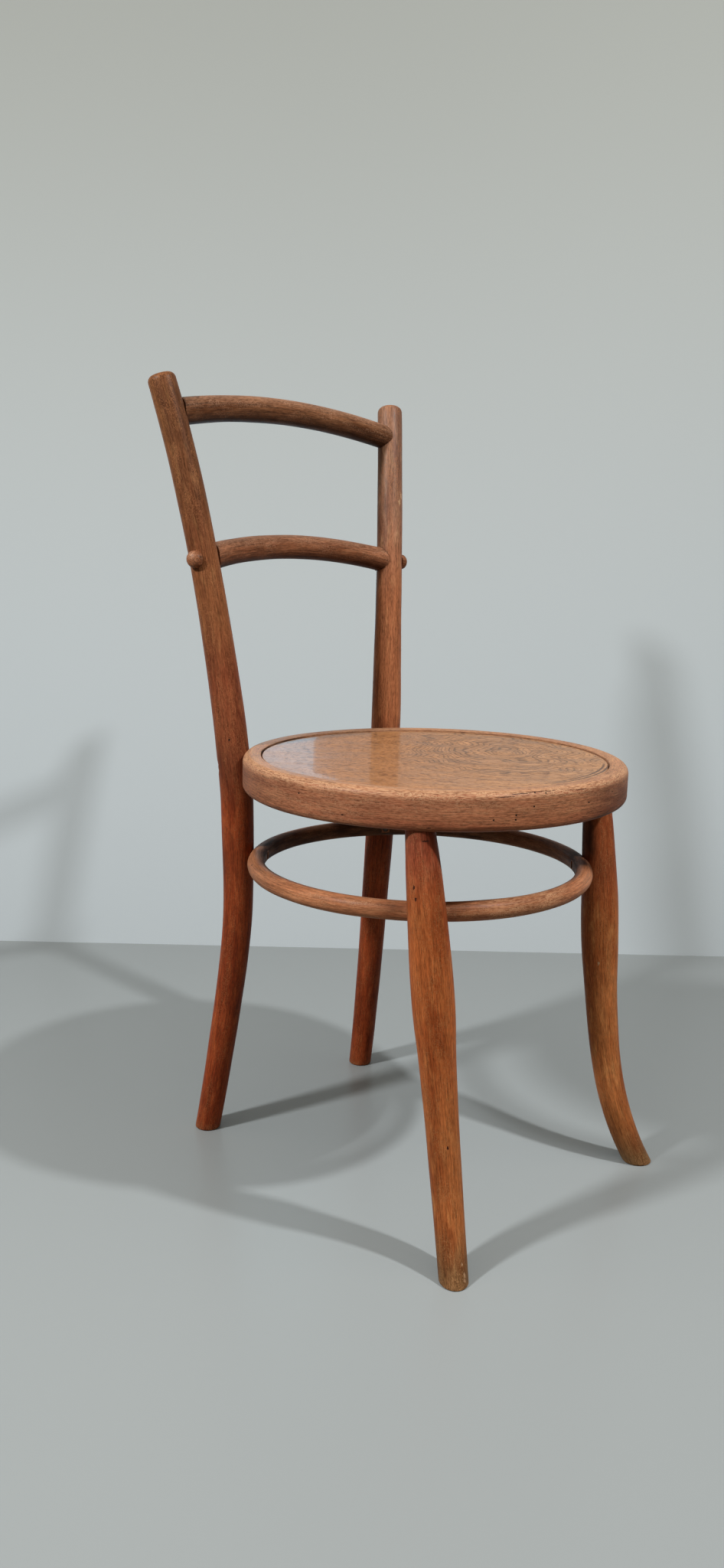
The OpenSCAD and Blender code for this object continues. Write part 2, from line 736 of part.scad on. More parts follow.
on_side("right") hoop_screw(front_hoop_angle);  // hoop_screw_front_right
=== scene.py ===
# %% [markdown]
# # A bentwood bistro chair
# Every stick of this chair was turned straight on a lathe, steamed until it was
# soft and then bent round an iron form. The lesson follows the workshop: each
# piece is first made straight, it keeps its straight measure as an attribute
# called "stick", and only then is it bent. The wood's figure is drawn on the
# straight measure, so the grain runs round every bend as it does in real wood.

# %% Load the frame
import math

import bmesh
import bpy
from mathutils import Matrix, Vector, noise


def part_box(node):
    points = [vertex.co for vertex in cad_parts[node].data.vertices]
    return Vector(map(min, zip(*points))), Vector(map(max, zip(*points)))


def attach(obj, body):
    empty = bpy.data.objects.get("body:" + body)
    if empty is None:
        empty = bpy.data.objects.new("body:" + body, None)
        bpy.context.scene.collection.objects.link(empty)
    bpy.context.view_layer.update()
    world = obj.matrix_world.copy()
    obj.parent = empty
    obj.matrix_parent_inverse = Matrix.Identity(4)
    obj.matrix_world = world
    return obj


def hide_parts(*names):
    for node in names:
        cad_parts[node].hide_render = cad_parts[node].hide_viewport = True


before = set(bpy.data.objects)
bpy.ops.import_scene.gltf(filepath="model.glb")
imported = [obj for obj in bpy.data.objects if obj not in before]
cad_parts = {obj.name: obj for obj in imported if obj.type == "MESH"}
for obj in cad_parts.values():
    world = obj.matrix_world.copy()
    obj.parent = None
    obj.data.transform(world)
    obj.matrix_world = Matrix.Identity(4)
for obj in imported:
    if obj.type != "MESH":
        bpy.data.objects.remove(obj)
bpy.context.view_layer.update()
MM = 0.001

# %% [markdown]
# ## Camera
# The chair is looked at from its front right corner, from a little above the
# seat. A constraint could aim the camera, but it can't tilt it. Three angles can:
# they give its right, its up and its back, which are the first three columns of
# its matrix, and its place is the fourth.

# %% Set up the camera
view_azimuth = math.radians(46.746)
view_pitch = math.radians(-10.999)
view_roll = math.radians(1.251)
camera_at = Vector((-0.96404, -0.82887, 0.66808))
image_height = 2048
focal_pixels = 1564.4
sensor_size = 36

forward = Vector((
    math.sin(view_azimuth) * math.cos(view_pitch),
    math.cos(view_azimuth) * math.cos(view_pitch),
    math.sin(view_pitch),
))
level_right = Vector((math.cos(view_azimuth), -math.sin(view_azimuth), 0))
level_up = level_right.cross(forward)
camera_right = math.cos(view_roll) * level_right + math.sin(view_roll) * level_up
camera_up = math.cos(view_roll) * level_up - math.sin(view_roll) * level_right


def in_scene(name, data):
    """A new object at the origin, linked to the scene."""
    thing = bpy.data.objects.new(name, data)
    bpy.context.scene.collection.objects.link(thing)
    return thing


camera_data = bpy.data.cameras.new("camera")
camera_data.sensor_width = sensor_size
camera_data.lens = sensor_size * focal_pixels / image_height
camera = in_scene("camera", camera_data)
turn = Matrix((camera_right, camera_up, -forward)).transposed()
camera.matrix_world = Matrix.Translation(camera_at) @ turn.to_4x4()
bpy.context.scene.camera = camera
bpy.context.scene.view_settings.view_transform = "Standard"
print("lens", round(camera_data.lens, 2), "mm")

# %% [markdown]
# ## Shader helpers
# A procedural finish is a small network of nodes. It could be wired by hand in
# the editor. In a script, one helper adds a node and fills its inputs: a plain
# value is typed in, and another node's output is linked. The other helpers name
# the few steps that every finish repeats, so a finish reads like a recipe.

# %% Node helpers
def fill(tree, node, inputs):
    """Types a plain value into each input, or links another node's output to it."""
    for socket, value in inputs.items():
        if isinstance(value, bpy.types.NodeSocket):
            tree.links.new(value, node.inputs[socket])
        else:
            node.inputs[socket].default_value = value


def add(tree, kind, inputs=None, **settings):
    """Adds a node, sets its options and fills its inputs."""
    node = tree.nodes.new("ShaderNode" + kind)
    for option, value in settings.items():
        setattr(node, option, value)
    fill(tree, node, inputs or {})
    return node


def new_finish(name):
    """A material with an empty network, and the shader at its end."""
    finish = bpy.data.materials.new(name)
    finish.use_nodes = True
    tree = finish.node_tree
    tree.nodes.clear()
    shader = add(tree, "BsdfPrincipled")
    add(tree, "OutputMaterial", {"Surface": shader.outputs["BSDF"]})
    return finish, tree, shader


# %% Where a point lies
def noted(tree, attribute, output="Fac"):
    """What a piece has noted at each of its points, as an attribute."""
    return add(tree, "Attribute", attribute_name=attribute).outputs[output]


def place_on(tree):
    """A point's place on the finished piece."""
    return add(tree, "TexCoord").outputs["Object"]


def height_of(tree, place):
    return add(tree, "SeparateXYZ", {"Vector": place}).outputs["Z"]


# %% Sums
def maths(tree, operation, a, b=0.0, clamp=False):
    """One sum with two values."""
    return add(tree, "Math", {0: a, 1: b}, operation=operation, use_clamp=clamp).outputs[0]


def times(tree, a, b):
    return maths(tree, "MULTIPLY", a, b)


def plus(tree, a, b):
    return maths(tree, "ADD", a, b)


def less(tree, a, b):
    return maths(tree, "SUBTRACT", a, b)


def vectors(tree, operation, a, b=(0, 0, 0)):
    """One sum with two vectors, or the length of one."""
    node = add(tree, "VectorMath", {0: a, 1: b}, operation=operation)
    return node.outputs["Value" if operation in ("LENGTH", "DOT_PRODUCT") else "Vector"]


def distance(tree, where, place, shape):
    """How far a point is from a place, where a shape says how much each direction counts."""
    offset = vectors(tree, "SUBTRACT", where, place)
    return vectors(tree, "LENGTH", vectors(tree, "MULTIPLY", offset, shape))


def between(tree, value, low, high, start=0.0, end=1.0):
    """Start below low, end above high, and a smooth step between them."""
    step = add(
        tree, "MapRange",
        {"Value": value, "From Min": low, "From Max": high, "To Min": start, "To Max": end},
        interpolation_type="SMOOTHSTEP",
    )
    return step.outputs["Result"]


def stripes(tree, reach, gap, rise, fall):
    """One soft stripe in every gap, which comes and goes over these parts of it."""
    part = maths(tree, "FRACT", maths(tree, "DIVIDE", reach, gap))
    return times(tree, between(tree, part, *rise), between(tree, part, *fall, 1, 0))


# %% Noise and colour
def grain_noise(tree, where, size, along, detail, seed=0.0):
    """Noise with spots of a size in metres, drawn out along the grain."""
    squash = (1 / size, 1 / size, 1 / (size * along))
    place = add(tree, "Mapping", {"Vector": where, "Scale": squash, "Location": (seed, seed, seed)})
    cloud = add(tree, "TexNoise", {"Vector": place.outputs[0], "Scale": 1.0, "Detail": detail})
    return cloud.outputs["Fac"]


def tint(tree, amount, under, over, mode="MIX"):
    """Lays one colour over another by an amount from 0 to 1."""
    under, over = [c if isinstance(c, bpy.types.NodeSocket) else (*c, 1) for c in (under, over)]
    mix = add(tree, "Mix", {0: amount, 6: under, 7: over}, data_type="RGBA", blend_type=mode)
    return mix.outputs[2]


def lighten(tree, colour, tone):
    """Multiplies a colour by a tone, which leaves it as it is at 1."""
    grey = add(tree, "CombineColor", {"Red": tone, "Green": tone, "Blue": tone}).outputs[0]
    return tint(tree, 1.0, colour, grey, "MULTIPLY")


# %% [markdown]
# ## Wood under old shellac
# Beech has faint growth rings, long soft streaks and thousands of short brown
# flecks. A reddish stain and shellac lie over them, rubbed thin where hands
# and clothes pass and dark where dirt collects. Painted shade also darkens
# them where shade falls, and painted highlights make some tops paler. A picture
# of wood would stretch at the bends and look the same on every leg, so each of
# these is a layer of noise here. Rings are distances from a heart of the tree
# that lies outside the stick, so a stick of changing thickness shows the long
# tongues of real wood.

# %% Small marks
# A kind of mark has its colour, its depth and how ragged its rim is. A finish
# lists its marks in rows: the kind, whether they are placed on the straight
# stick or here on the bent piece, their radius, their shape and their places.
HOLE = ((0.010, 0.005, 0.003), 3.0, 0.5)
CHIP = ((0.46, 0.27, 0.15), 1.0, 1.2)
CRACK = ((0.045, 0.014, 0.008), 1.5, 0.8)


def spots(tree, where, places, radius, shape, ragged, cloud):
    """1 inside a few small marks at known places in millimetres, and 0 elsewhere."""
    nearest = None
    for place in places:
        reach = distance(tree, where, Vector(place) * MM, shape)
        nearest = reach if nearest is None else maths(tree, "MINIMUM", nearest, reach)
    if ragged:
        torn = times(tree, less(tree, cloud, 0.5), 4 * ragged * radius * MM)
        nearest = plus(tree, nearest, torn)
    return between(tree, nearest, radius * MM, 1.6 * radius * MM, 1.0, 0.0)


# %% Layers of the wood
def stained(tree, stick, height, tones, shades):
    """The stain in clouds of three tones. A shade starts at one height and is full at another."""
    dark, middle, light = tones
    blotch = grain_noise(tree, stick, 24 * MM, 6, 2)
    patch = grain_noise(tree, stick, 6 * MM, 4, 3, seed=7)
    colour = tint(tree, between(tree, blotch, 0.38, 0.60), dark, middle)
    colour = tint(tree, between(tree, patch, 0.46, 0.90), colour, light)
    for start, full, shade in shades:
        colour = tint(tree, between(tree, height, start, full), colour, shade, "MULTIPLY")
    return colour


def late_wood(tree, stick, ring_gap, heart, drift):
    """1 in the dark line that ends each growth ring, and 0 between the lines."""
    size, along, amount = drift
    wander = times(tree, grain_noise(tree, stick, size, along, 2, seed=2), amount)
    reach = plus(tree, distance(tree, stick, -Vector(heart), (1, 1, 0.02)), wander)
    return stripes(tree, reach, ring_gap, (0.25, 0.92), (0.93, 1.0))


def grain_tone(tree, stick, fibre, grit, streaks, fibres):
    """How light the grain is, about 1: long soft streaks, and fibres and pores on them."""
    streak = grain_noise(tree, stick, 1.5 * MM, 26, 3, seed=3)
    tone = plus(tree, between(tree, streak, 0.36, 0.64, 1 - streaks, 1 + streaks),
                between(tree, fibre, 0.34, 0.66, -fibres, fibres))
    return plus(tree, tone, between(tree, grit, 0.34, 0.66, -fibres, fibres))


# %% The wood finish
FLECK_BROWN = (0.06, 0.018, 0.008)
SOIL_AND_SHADE_BROWN = (0.022, 0.010, 0.007)
WOOD_RELIEF = 0.30 * MM


def wood(name, tones, bare, rings=(5 * MM, 0.09), heart=(62 * MM, 38 * MM, 0),
         drift=(26 * MM, 6, 16 * MM), roughness=0.42, scuffs=0.30, flecks=0.30, streaks=0.14,
         fibres=0.15, lacquer=0.05, shades=(), marks=()):
    """Beech with its stain, grain, worn places and painted highlights, dirt and painted
    shade, and small marks, laid on in that order.

    The tones are the stain's dark, middle and light, and bare is the wood without it. Rings are
    their gap and how dark they are, the heart is how far the stick lies from the tree's middle,
    and the drift is the size, the stretch and the reach of the rings' wander. The numbers after
    them say how strong each layer is.
    """
    finish, tree, shader = new_finish(name)
    stick = noted(tree, "stick", "Vector")
    wear_and_highlight = noted(tree, "wear_and_highlight")
    here = place_on(tree)
    fibre = grain_noise(tree, stick, 0.6 * MM, 24, 3, seed=5)
    fleck = grain_noise(tree, stick, 0.9 * MM, 9, 2, seed=11)
    grit = grain_noise(tree, stick, 1.0 * MM, 5, 4, seed=19)
    speck = grain_noise(tree, stick, 0.8 * MM, 1.8, 3, seed=13)
    scuff = grain_noise(tree, stick, 8 * MM, 4, 3, seed=17)

    ring_gap, ring_depth = rings
    late = times(tree, late_wood(tree, stick, ring_gap, heart, drift), ring_depth)
    tone = less(tree, grain_tone(tree, stick, fibre, grit, streaks, fibres), late)
    colour = lighten(tree, stained(tree, stick, height_of(tree, here), tones, shades), tone)
    dashes = times(tree, between(tree, fleck, 0.58, 0.65), flecks)
    colour = tint(tree, dashes, colour, FLECK_BROWN)

    # Worn places, and painted highlights where a piece notes them, show the bare wood.
    flakes = times(tree, between(tree, speck, 0.50, 0.62), between(tree, scuff, 0.40, 0.58))
    flakes = maths(tree, "MULTIPLY", flakes, plus(tree, wear_and_highlight, scuffs), clamp=True)
    rubbed = times(tree, wear_and_highlight, between(tree, grit, 0.38, 0.62, 0.10, 0.75))
    colour = tint(tree, maths(tree, "MAXIMUM", flakes, rubbed), colour, bare)
    # Dirt, and painted shade where a piece notes it, darken the colour.
    soil_and_shade = times(tree, noted(tree, "grime_and_shade"), between(tree, scuff, 0.3, 0.7, 1.0, 0.65))
    colour = tint(tree, soil_and_shade, colour, SOIL_AND_SHADE_BROWN)

    rough = plus(tree, between(tree, grit, 0.3, 0.7, roughness - 0.08, roughness + 0.12),
                 times(tree, plus(tree, soil_and_shade, flakes), 0.25))
    relief = plus(tree, times(tree, fibre, 0.35), times(tree, speck, 0.55))
    relief = less(tree, relief, times(tree, dashes, 0.4))
    for (mark_colour, depth, ragged), space, radius, shape, places in marks:
        where = stick if space == "stick" else here
        mark = spots(tree, where, places, radius, shape, ragged, speck)
        colour = tint(tree, mark, colour, mark_colour)
        relief = less(tree, relief, times(tree, mark, depth))
    bump = add(tree, "Bump", {"Height": relief, "Strength": 0.6, "Distance": WOOD_RELIEF}).outputs[0]
    fill(tree, shader, {
        "Base Color": colour, "Roughness": rough, "Normal": bump, "Coat Normal": bump,
        "Specular IOR Level": 0.08, "Coat Weight": lacquer, "Coat Roughness": 0.30,
    })
    print(name, "has", len(tree.nodes), "nodes")
    return finish


# %% [markdown]
# ## From a CAD solid to a bending line
# The CAD file already says where each stick runs. The line could be typed in as
# a list of points, but a measured one stays right when a size changes. A cut
# across the solid gives a section, its middle is a point on the stick's line,
# and its area gives the thickness. A few cuts are enough, because a smooth curve
# goes through them.

# %% Measure sections
weld = 0.01 * MM


def everything(bm):
    return bm.verts[:] + bm.edges[:] + bm.faces[:]


def section(node, point, normal):
    """Middle and radius of the cut that a plane makes through a CAD solid."""
    bm = bmesh.new()
    bm.from_mesh(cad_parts[node].data)
    bmesh.ops.remove_doubles(bm, verts=bm.verts, dist=weld)
    cut = bmesh.ops.bisect_plane(bm, geom=everything(bm), plane_co=point, plane_no=normal)["geom_cut"]
    rim = [v.co.copy() for v in cut if isinstance(v, bmesh.types.BMVert)]
    edges = [[v.co.copy() for v in e.verts] for e in cut if isinstance(e, bmesh.types.BMEdge)]
    bm.free()
    middle = sum(rim, Vector()) / len(rim)
    area = sum((a - middle).cross(b - middle).length for a, b in edges) / 2
    centre = sum(
        ((a + b + middle) * (a - middle).cross(b - middle).length for a, b in edges), Vector()
    ) / (6 * area)
    return centre, math.sqrt(area / math.pi)


# %% Draw a smooth curve
def smooth_curve(stations):
    """A cubic through stations (t, value), with slopes taken from the neighbours."""
    t = [s[0] for s in stations]
    v = [s[1] for s in stations]
    chord = [(v[k + 1] - v[k]) / (t[k + 1] - t[k]) for k in range(len(t) - 1)]
    slope = [(v[k + 1] - v[k - 1]) / (t[k + 1] - t[k - 1]) for k in range(1, len(t) - 1)]
    slope = [2 * chord[0] - slope[0], *slope, 2 * chord[-1] - slope[-1]]

    def value(at):
        k = max(0, min(len(t) - 2, sum(at > x for x in t) - 1))
        h = t[k + 1] - t[k]
        s = (at - t[k]) / h
        return (v[k] * (1 + 2 * s) * (1 - s) ** 2 + slope[k] * h * s * (1 - s) ** 2
                + v[k + 1] * s * s * (3 - 2 * s) + slope[k + 1] * h * s * s * (s - 1))

    return value


def heading_at(line, at):
    """The direction of a line at a place on it."""
    step = 1 * MM
    return (line(at + step) - line(at - step)).normalized()


# %% Measure a stick
# The solids' round sections have 24 sides, and this is what that takes off a radius.
facet_loss = 0.9943


def stick_line(node, places, axis):
    """The middle line and the radius of a stick, as curves over its place along an axis."""
    found = [(at, *section(node, axis * at, axis)) for at in places]
    line = smooth_curve([(at, centre) for at, centre, _ in found])
    girth = []
    for at, _, radius in found:
        lean = heading_at(line, at).dot(axis)
        girth.append((at, radius * math.sqrt(lean) / facet_loss))
    return line, smooth_curve(girth)


# %% [markdown]
# ## A straight stick
# The lathe leaves a straight stick whose thickness changes along its length. A
# curve with a bevel would give its shape too, but not its straight measure. So a
# disc is extruded from height to height and scaled at each one. Before it is
# bent, every corner of every face writes down where it lies: that is the
# "stick" attribute. A stick that came from another part of the tree gets
# another shift, so that no two legs show the same figure.

# %% Turn and bend
def points_of(geometry):
    return [g for g in geometry if isinstance(g, bmesh.types.BMVert)]


def faces_of(geometry):
    return [g for g in geometry if isinstance(g, bmesh.types.BMFace)]


def pulled(bm, end):
    """Extrudes the end of a stick. Its rim goes along, or a face would stay inside the wood."""
    rim = [e for f in end for e in f.edges]
    made = bmesh.ops.extrude_face_region(bm, geom=end + rim)["geom"]
    return points_of(made), faces_of(made)


def turned_stick(heights, radius_at, sides=64):
    """A round stick along Z, extruded from height to height."""
    bm = bmesh.new()
    bmesh.ops.create_circle(
        bm, cap_ends=True, segments=sides, radius=radius_at(heights[0]),
        matrix=Matrix.Translation((0, 0, heights[0])),
    )
    end = bm.faces[:]
    for low, high in zip(heights, heights[1:]):
        rim, end = pulled(bm, end)
        grow = radius_at(high) / radius_at(low)
        bmesh.ops.scale(bm, vec=(grow, grow, 1), verts=rim)
        bmesh.ops.translate(bm, vec=(0, 0, high - low), verts=rim)
    return bm


def bend(bm, line, across):
    """Lays a straight stick along a line, square to it everywhere."""
    for v in bm.verts:
        at = v.co.z
        way = heading_at(line, at)
        side = (across - way * way.dot(across)).normalized()
        v.co = line(at) + side * v.co.x + way.cross(side) * v.co.y


def uneven(bm, size, amount, seed):
    """Steam, clamps and a century of use leave a stick a little out of true."""
    bm.normal_update()
    shifts = [v.normal * noise.noise(v.co / size + Vector((seed, 0, 0))) * amount for v in bm.verts]
    for v, shift in zip(bm.verts, shifts):
        v.co += shift


# %% Notes on the mesh
def note_straight(bm, shift=(0, 0, 0)):
    """Every face corner keeps its place in the straight stick."""
    layer = bm.loops.layers.float_vector.new("stick")
    for face in bm.faces:
        for corner in face.loops:
            corner[layer] = corner.vert.co + Vector(shift)


def limited(value):
    """A value held between 0 and 1."""
    return max(0.0, min(1.0, value))


def near(places, reach):
    """A mark that is 1 at any of the places and fades out over a reach."""
    return lambda co: max(max(0.0, 1 - (co - p).length / reach) for p in places)


def nowhere(co):
    return 0.0


def note_marks(bm, grime_and_shade_at=nowhere, wear_and_highlight_at=nowhere):
    """Every point keeps its dirt and painted shade, and its wear and painted highlight, from 0 to 1."""
    grime_and_shade = bm.verts.layers.float.new("grime_and_shade")
    wear_and_highlight = bm.verts.layers.float.new("wear_and_highlight")
    for v in bm.verts:
        v[grime_and_shade] = limited(grime_and_shade_at(v.co))
        v[wear_and_highlight] = limited(wear_and_highlight_at(v.co))


# %% Finish a piece
sharp_angle = math.radians(35)


def as_mesh(name, bm):
    """Turns a bmesh into a mesh, and lets the bmesh go."""
    mesh = bpy.data.meshes.new(name)
    bm.to_mesh(mesh)
    bm.free()
    return mesh


def finish_piece(name, bm, material, slot, *nodes):
    """Turns a bmesh into a shown piece that stands for its CAD nodes."""
    bmesh.ops.recalc_face_normals(bm, faces=bm.faces)
    mesh = as_mesh(name, bm)
    mesh.shade_smooth()
    mesh.set_sharp_from_angle(angle=sharp_angle)
    mesh.materials.append(material)
    piece = in_scene(name, mesh)
    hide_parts(*nodes)
    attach(piece, "root")
    size = (Vector(map(max, *[v.co for v in mesh.vertices]))
            - Vector(map(min, *[v.co for v in mesh.vertices])))
    print(name, len(mesh.polygons), "faces,", [round(x / MM, 1) for x in size], "mm")
    return piece


# %% [markdown]
# ## Bored holes
# The heads of the bolts and screws lie in round recesses, which are bored after
# the bending. An inset face would have to lie just where the hole is wanted. A
# Boolean modifier cuts wherever the drill stands, and its result then becomes
# the piece's own mesh, so that no modifier is left on it.

# %% Bore holes
bore_play = 0.15 * MM
# The walls of a bored hole are coloured darker.
bore_darkening = 0.6


def bore(piece, start, stop, radius):
    """Bores a round hole into a finished piece, from one point to another."""
    bm = bmesh.new()
    bmesh.ops.create_cone(
        bm, cap_ends=True, segments=32, radius1=radius, radius2=radius, depth=(stop - start).length
    )
    turn = (stop - start).to_track_quat("Z", "Y").to_matrix().to_4x4()
    bmesh.ops.transform(bm, matrix=Matrix.Translation((start + stop) / 2) @ turn, verts=bm.verts)
    note_straight(bm)
    note_marks(bm, lambda co: bore_darkening)
    drill = in_scene("drill", as_mesh("drill", bm))
    hole = piece.modifiers.new("hole", "BOOLEAN")
    hole.object = drill
    hole.solver = "EXACT"
    shaped = piece.evaluated_get(bpy.context.evaluated_depsgraph_get())
    bored = bpy.data.meshes.new_from_object(shaped)
    bored.set_sharp_from_angle(angle=sharp_angle)
    piece.modifiers.clear()
    piece.data = bored
    bpy.data.objects.remove(drill)
    print(piece.name, "bored,", len(bored.polygons), "faces")


def bore_for_head(piece, node, start, way, end_of, below, above):
    """Bores for the head of a bolt or screw, which is at one end of its solid along a way."""
    low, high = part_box(node)
    way = way.normalized()
    head = end_of((v.co - start).dot(way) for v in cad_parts[node].data.vertices)
    head_radius = (high.z - low.z) / 2
    bore(piece, start + way * (head + below), start + way * (head + above), head_radius + bore_play)


# %% [markdown]
# ## Levels of the chair
# The CAD boxes say where the ring, the hoop and the rails are, so none of their
# heights is typed in.

# %% Read the levels
ring_low, ring_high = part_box("seat_ring")
hoop_low, hoop_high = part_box("leg_hoop")
seat_centre = (ring_low + ring_high) / 2
seat_centre.z = 0
hoop_centre = (hoop_low + hoop_high) / 2
seat_radius = (ring_high.x - ring_low.x) / 2
hoop_thick = hoop_high.z - hoop_low.z
hoop_radius = (hoop_high.x - hoop_low.x) / 2 - hoop_thick / 2
back_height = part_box("back_leg_left")[1].z
button_low, button_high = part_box("rail_button_left")
mid_rail_level = (button_low.z + button_high.z) / 2
print("seat radius", round(seat_radius / MM, 1), "hoop radius", round(hoop_radius / MM, 1))

# %% [markdown]
# ## Back legs
# One stick makes a back leg and a back post. It is thickest at the seat, where
# it is cut to fit the ring, and thinner at both ends. The tip is rounded over
# on the lathe, so it stays square to the leaning post. A foot that was cut on
# the straight stick would slant, so it is sawn level with the floor after the
# bending. Its rim is eased, which the bevel does.

# %% Leg helpers
tip_round = 6.5 * MM
foot_round = 2.2 * MM
foot_spare = 14 * MM
foot_clear = 12 * MM
leg_step = 6 * MM
cut_slack = 0.05 * MM


def leg_heights(high):
    """Even heights above one long step, in which the foot is sawn off level."""
    count = math.ceil((high - foot_clear) / leg_step)
    return [-foot_spare] + [foot_clear + (high - foot_clear) * k / count for k in range(count + 1)]


def level_edges(bm, height):
    """Edges that lie level at a height, such as the rim of a foot."""
    return [e for e in bm.edges if all(abs(v.co.z - height) < cut_slack for v in e.verts)]


def saw_level(bm, height, keep_above):
    """Cuts a piece off level and closes the cut with one flat face."""
    side = 1 if keep_above else -1
    bmesh.ops.bisect_plane(
        bm, geom=everything(bm), dist=weld,
        plane_co=(0, 0, height), plane_no=(0, 0, side), clear_inner=True,
    )
    bmesh.ops.contextual_create(bm, geom=level_edges(bm, height))


def ease_rim(bm, height, radius, segments):
    """Rounds the sharp rim of a level cut."""
    rim = [e for e in level_edges(bm, height) if e.calc_face_angle(0) > 0.6]
    bmesh.ops.bevel(
        bm, geom=rim, offset=radius, segments=segments, profile=0.5,
        affect="EDGES", material=-1, clamp_overlap=True,
    )


def foot_wear(co):
    """Feet are rubbed pale along the rim that slides over the floor."""
    return max(0.0, 1 - co.z / (5.5 * MM))


# %% The back legs' finishes
# Both legs are stained dark red below the seat, and both posts are browner. The
# left post is lighter.
post_shades = {
    "left": ((400 * MM, 485 * MM, (1.08, 2.1, 3.2)), (600 * MM, 760 * MM, (0.74, 1.05, 1.5))),
    "right": (
        (380 * MM, 455 * MM, (0.64, 0.95, 1.42)), (530 * MM, 600 * MM, (1.10, 1.42, 1.30)),
        (650 * MM, 780 * MM, (0.74, 0.83, 0.84)),
    ),
}
back_leg_marks = (
    (HOLE, "here", 0.8, (1, 1, 1), [(-137.9, 145.4, 466.3)]),
    (CHIP, "here", 1.4, (1, 1, 0.5), [(160.6, 174.2, 735.2), (156.0, 172.3, 727.7)]),
)
back_leg_finishes = {
    side: wood(
        "back_leg_beech_" + side, ((0.215, 0.037, 0.011), (0.325, 0.060, 0.017), (0.43, 0.098, 0.028)),
        bare=(0.42, 0.17, 0.07), scuffs=0.40, streaks=0.16, fibres=0.18, shades=shades,
        marks=back_leg_marks,
    )
    for side, shades in post_shades.items()
}

# %% The tip and the bolt's recess
bolt_head_height = 4.5 * MM
past_the_wood = 20 * MM


def tip_heights(line, girth):
    """Where the tip ends on the straight stick, and the heights that round it over."""
    lean = (line(back_height) - line(back_height - 1 * MM)).normalized()
    slant = math.sqrt(1 - lean.z ** 2)
    flat_radius = girth(back_height) - tip_round
    tip = back_height - flat_radius * slant - tip_round * (math.sqrt(1 + slant ** 2) - 1)
    return tip, [tip + tip_round * (math.sin(math.radians(a)) - 1) for a in range(10, 91, 10)]


def rounded_end(girth, end, rounding):
    """The radius of a stick whose end is rounded over."""
    def radius(h):
        past = max(0.0, h - end + rounding) / rounding
        return girth(h) - rounding * (1 - math.sqrt(max(0.0, 1 - past ** 2)))

    return radius


def recess_bolt_head(leg, bolt, line):
    """Bores the recess in which the head of a seat bolt lies flush."""
    low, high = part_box(bolt)
    start = Vector((seat_centre.x, seat_centre.y, (low.z + high.z) / 2))
    bore_for_head(leg, bolt, start, line(start.z) - start, max, -bolt_head_height, past_the_wood)


# %% Bend the back legs
# A leg is measured at heights that keep clear of its joints, where it isn't round.
UP = Vector((0, 0, 1))
ACROSS = Vector((1, 0, 0))
back_cuts = [2, 50, 100, 150, 200, 250, 295, 380, 408, 475, 530, 580, 630, 690, 740, 785, 830]
back_lines = {}
for side, shift in (("left", (0, 0, 0.3)), ("right", (0.02, 0.05, 1.7))):
    line, girth = stick_line("back_leg_" + side, [h * MM for h in back_cuts], UP)
    back_lines[side] = (line, girth)
    tip, rounding = tip_heights(line, girth)
    bm = turned_stick(leg_heights(tip - tip_round) + rounding, rounded_end(girth, tip, tip_round))
    note_straight(bm, shift)
    bend(bm, line, ACROSS)
    uneven(bm, size=55 * MM, amount=0.35 * MM, seed=shift[2])
    saw_level(bm, 0, True)
    ease_rim(bm, 0, foot_round, 3)
    # Near the hoop and the seat each leg is darkened: dirt at the joints and painted shade.
    joints = near([line(hoop_centre.z), line(ring_low.z)], 55 * MM)
    tops = near([line(tip), line(tip - 80 * MM), line(tip - 105 * MM)], 24 * MM)
    note_marks(bm, lambda co: 0.5 * joints(co), lambda co: max(0.5 * tops(co), foot_wear(co)))
    name = "back_leg_" + side
    leg = finish_piece("bent_" + name, bm, back_leg_finishes[side], "bent_beech", name)
    recess_bolt_head(leg, "seat_bolt_" + side, line)

# %% [markdown]
# ## Front legs
# The front legs swell below the hoop and thin to a neck under the seat, where a
# hidden round tenon goes up into the ring. They have kept little of their stain,
# so they look orange beside the back legs. They are bent as the back legs are.
# The ring hides their tops, so these are sawn level too.

# %% The front legs' finishes
# The feet are darker and greyer. The necks under the seat are darker: painted shade.
# Lower down the left leg is paler and yellower, a painted light, and the right leg
# is paler and yellower towards its foot.
darker_feet = (60 * MM, 0, (0.42, 0.66, 0.92))
front_shades = {
    "left": (
        darker_feet, (265 * MM, 335 * MM, (0.70, 0.66, 0.80)), (330 * MM, 270 * MM, (1.08, 1.36, 1.52)),
    ),
    "right": (
        darker_feet, (330 * MM, 415 * MM, (0.70, 0.65, 1.15)), (220 * MM, 110 * MM, (0.94, 1.12, 1.22)),
    ),
}
front_leg_marks = (
    (CRACK, "here", 0.5, (0.22, 0.22, 1), [(-155.3, -148.6, 411.3)]),
    (CRACK, "here", 0.7, (0.9, 0.9, 0.5), [(-163.5, -143.6, 368.0), (-163.6, -145.9, 357.7)]),
    (CRACK, "here", 0.7, (1, 1, 0.6), [(-150.9, -184.0, 122.0)]),
    (CHIP, "here", 0.9, (0.9, 0.9, 0.5),
     [(-162.6, -219.6, 7.6), (-161.0, -217.6, 11.0), (-160.5, -214.5, 21.5)]),
    (CHIP, "here", 0.8, (1, 1, 0.6), [(124.6, -165.2, 232.1)]),
)
front_leg_finishes = {
    side: wood(
        "front_leg_beech_" + side, ((0.310, 0.068, 0.017), (0.435, 0.116, 0.032), (0.53, 0.175, 0.052)),
        bare=(0.46, 0.24, 0.10), shades=shades, marks=front_leg_marks,
    )
    for side, shades in front_shades.items()
}

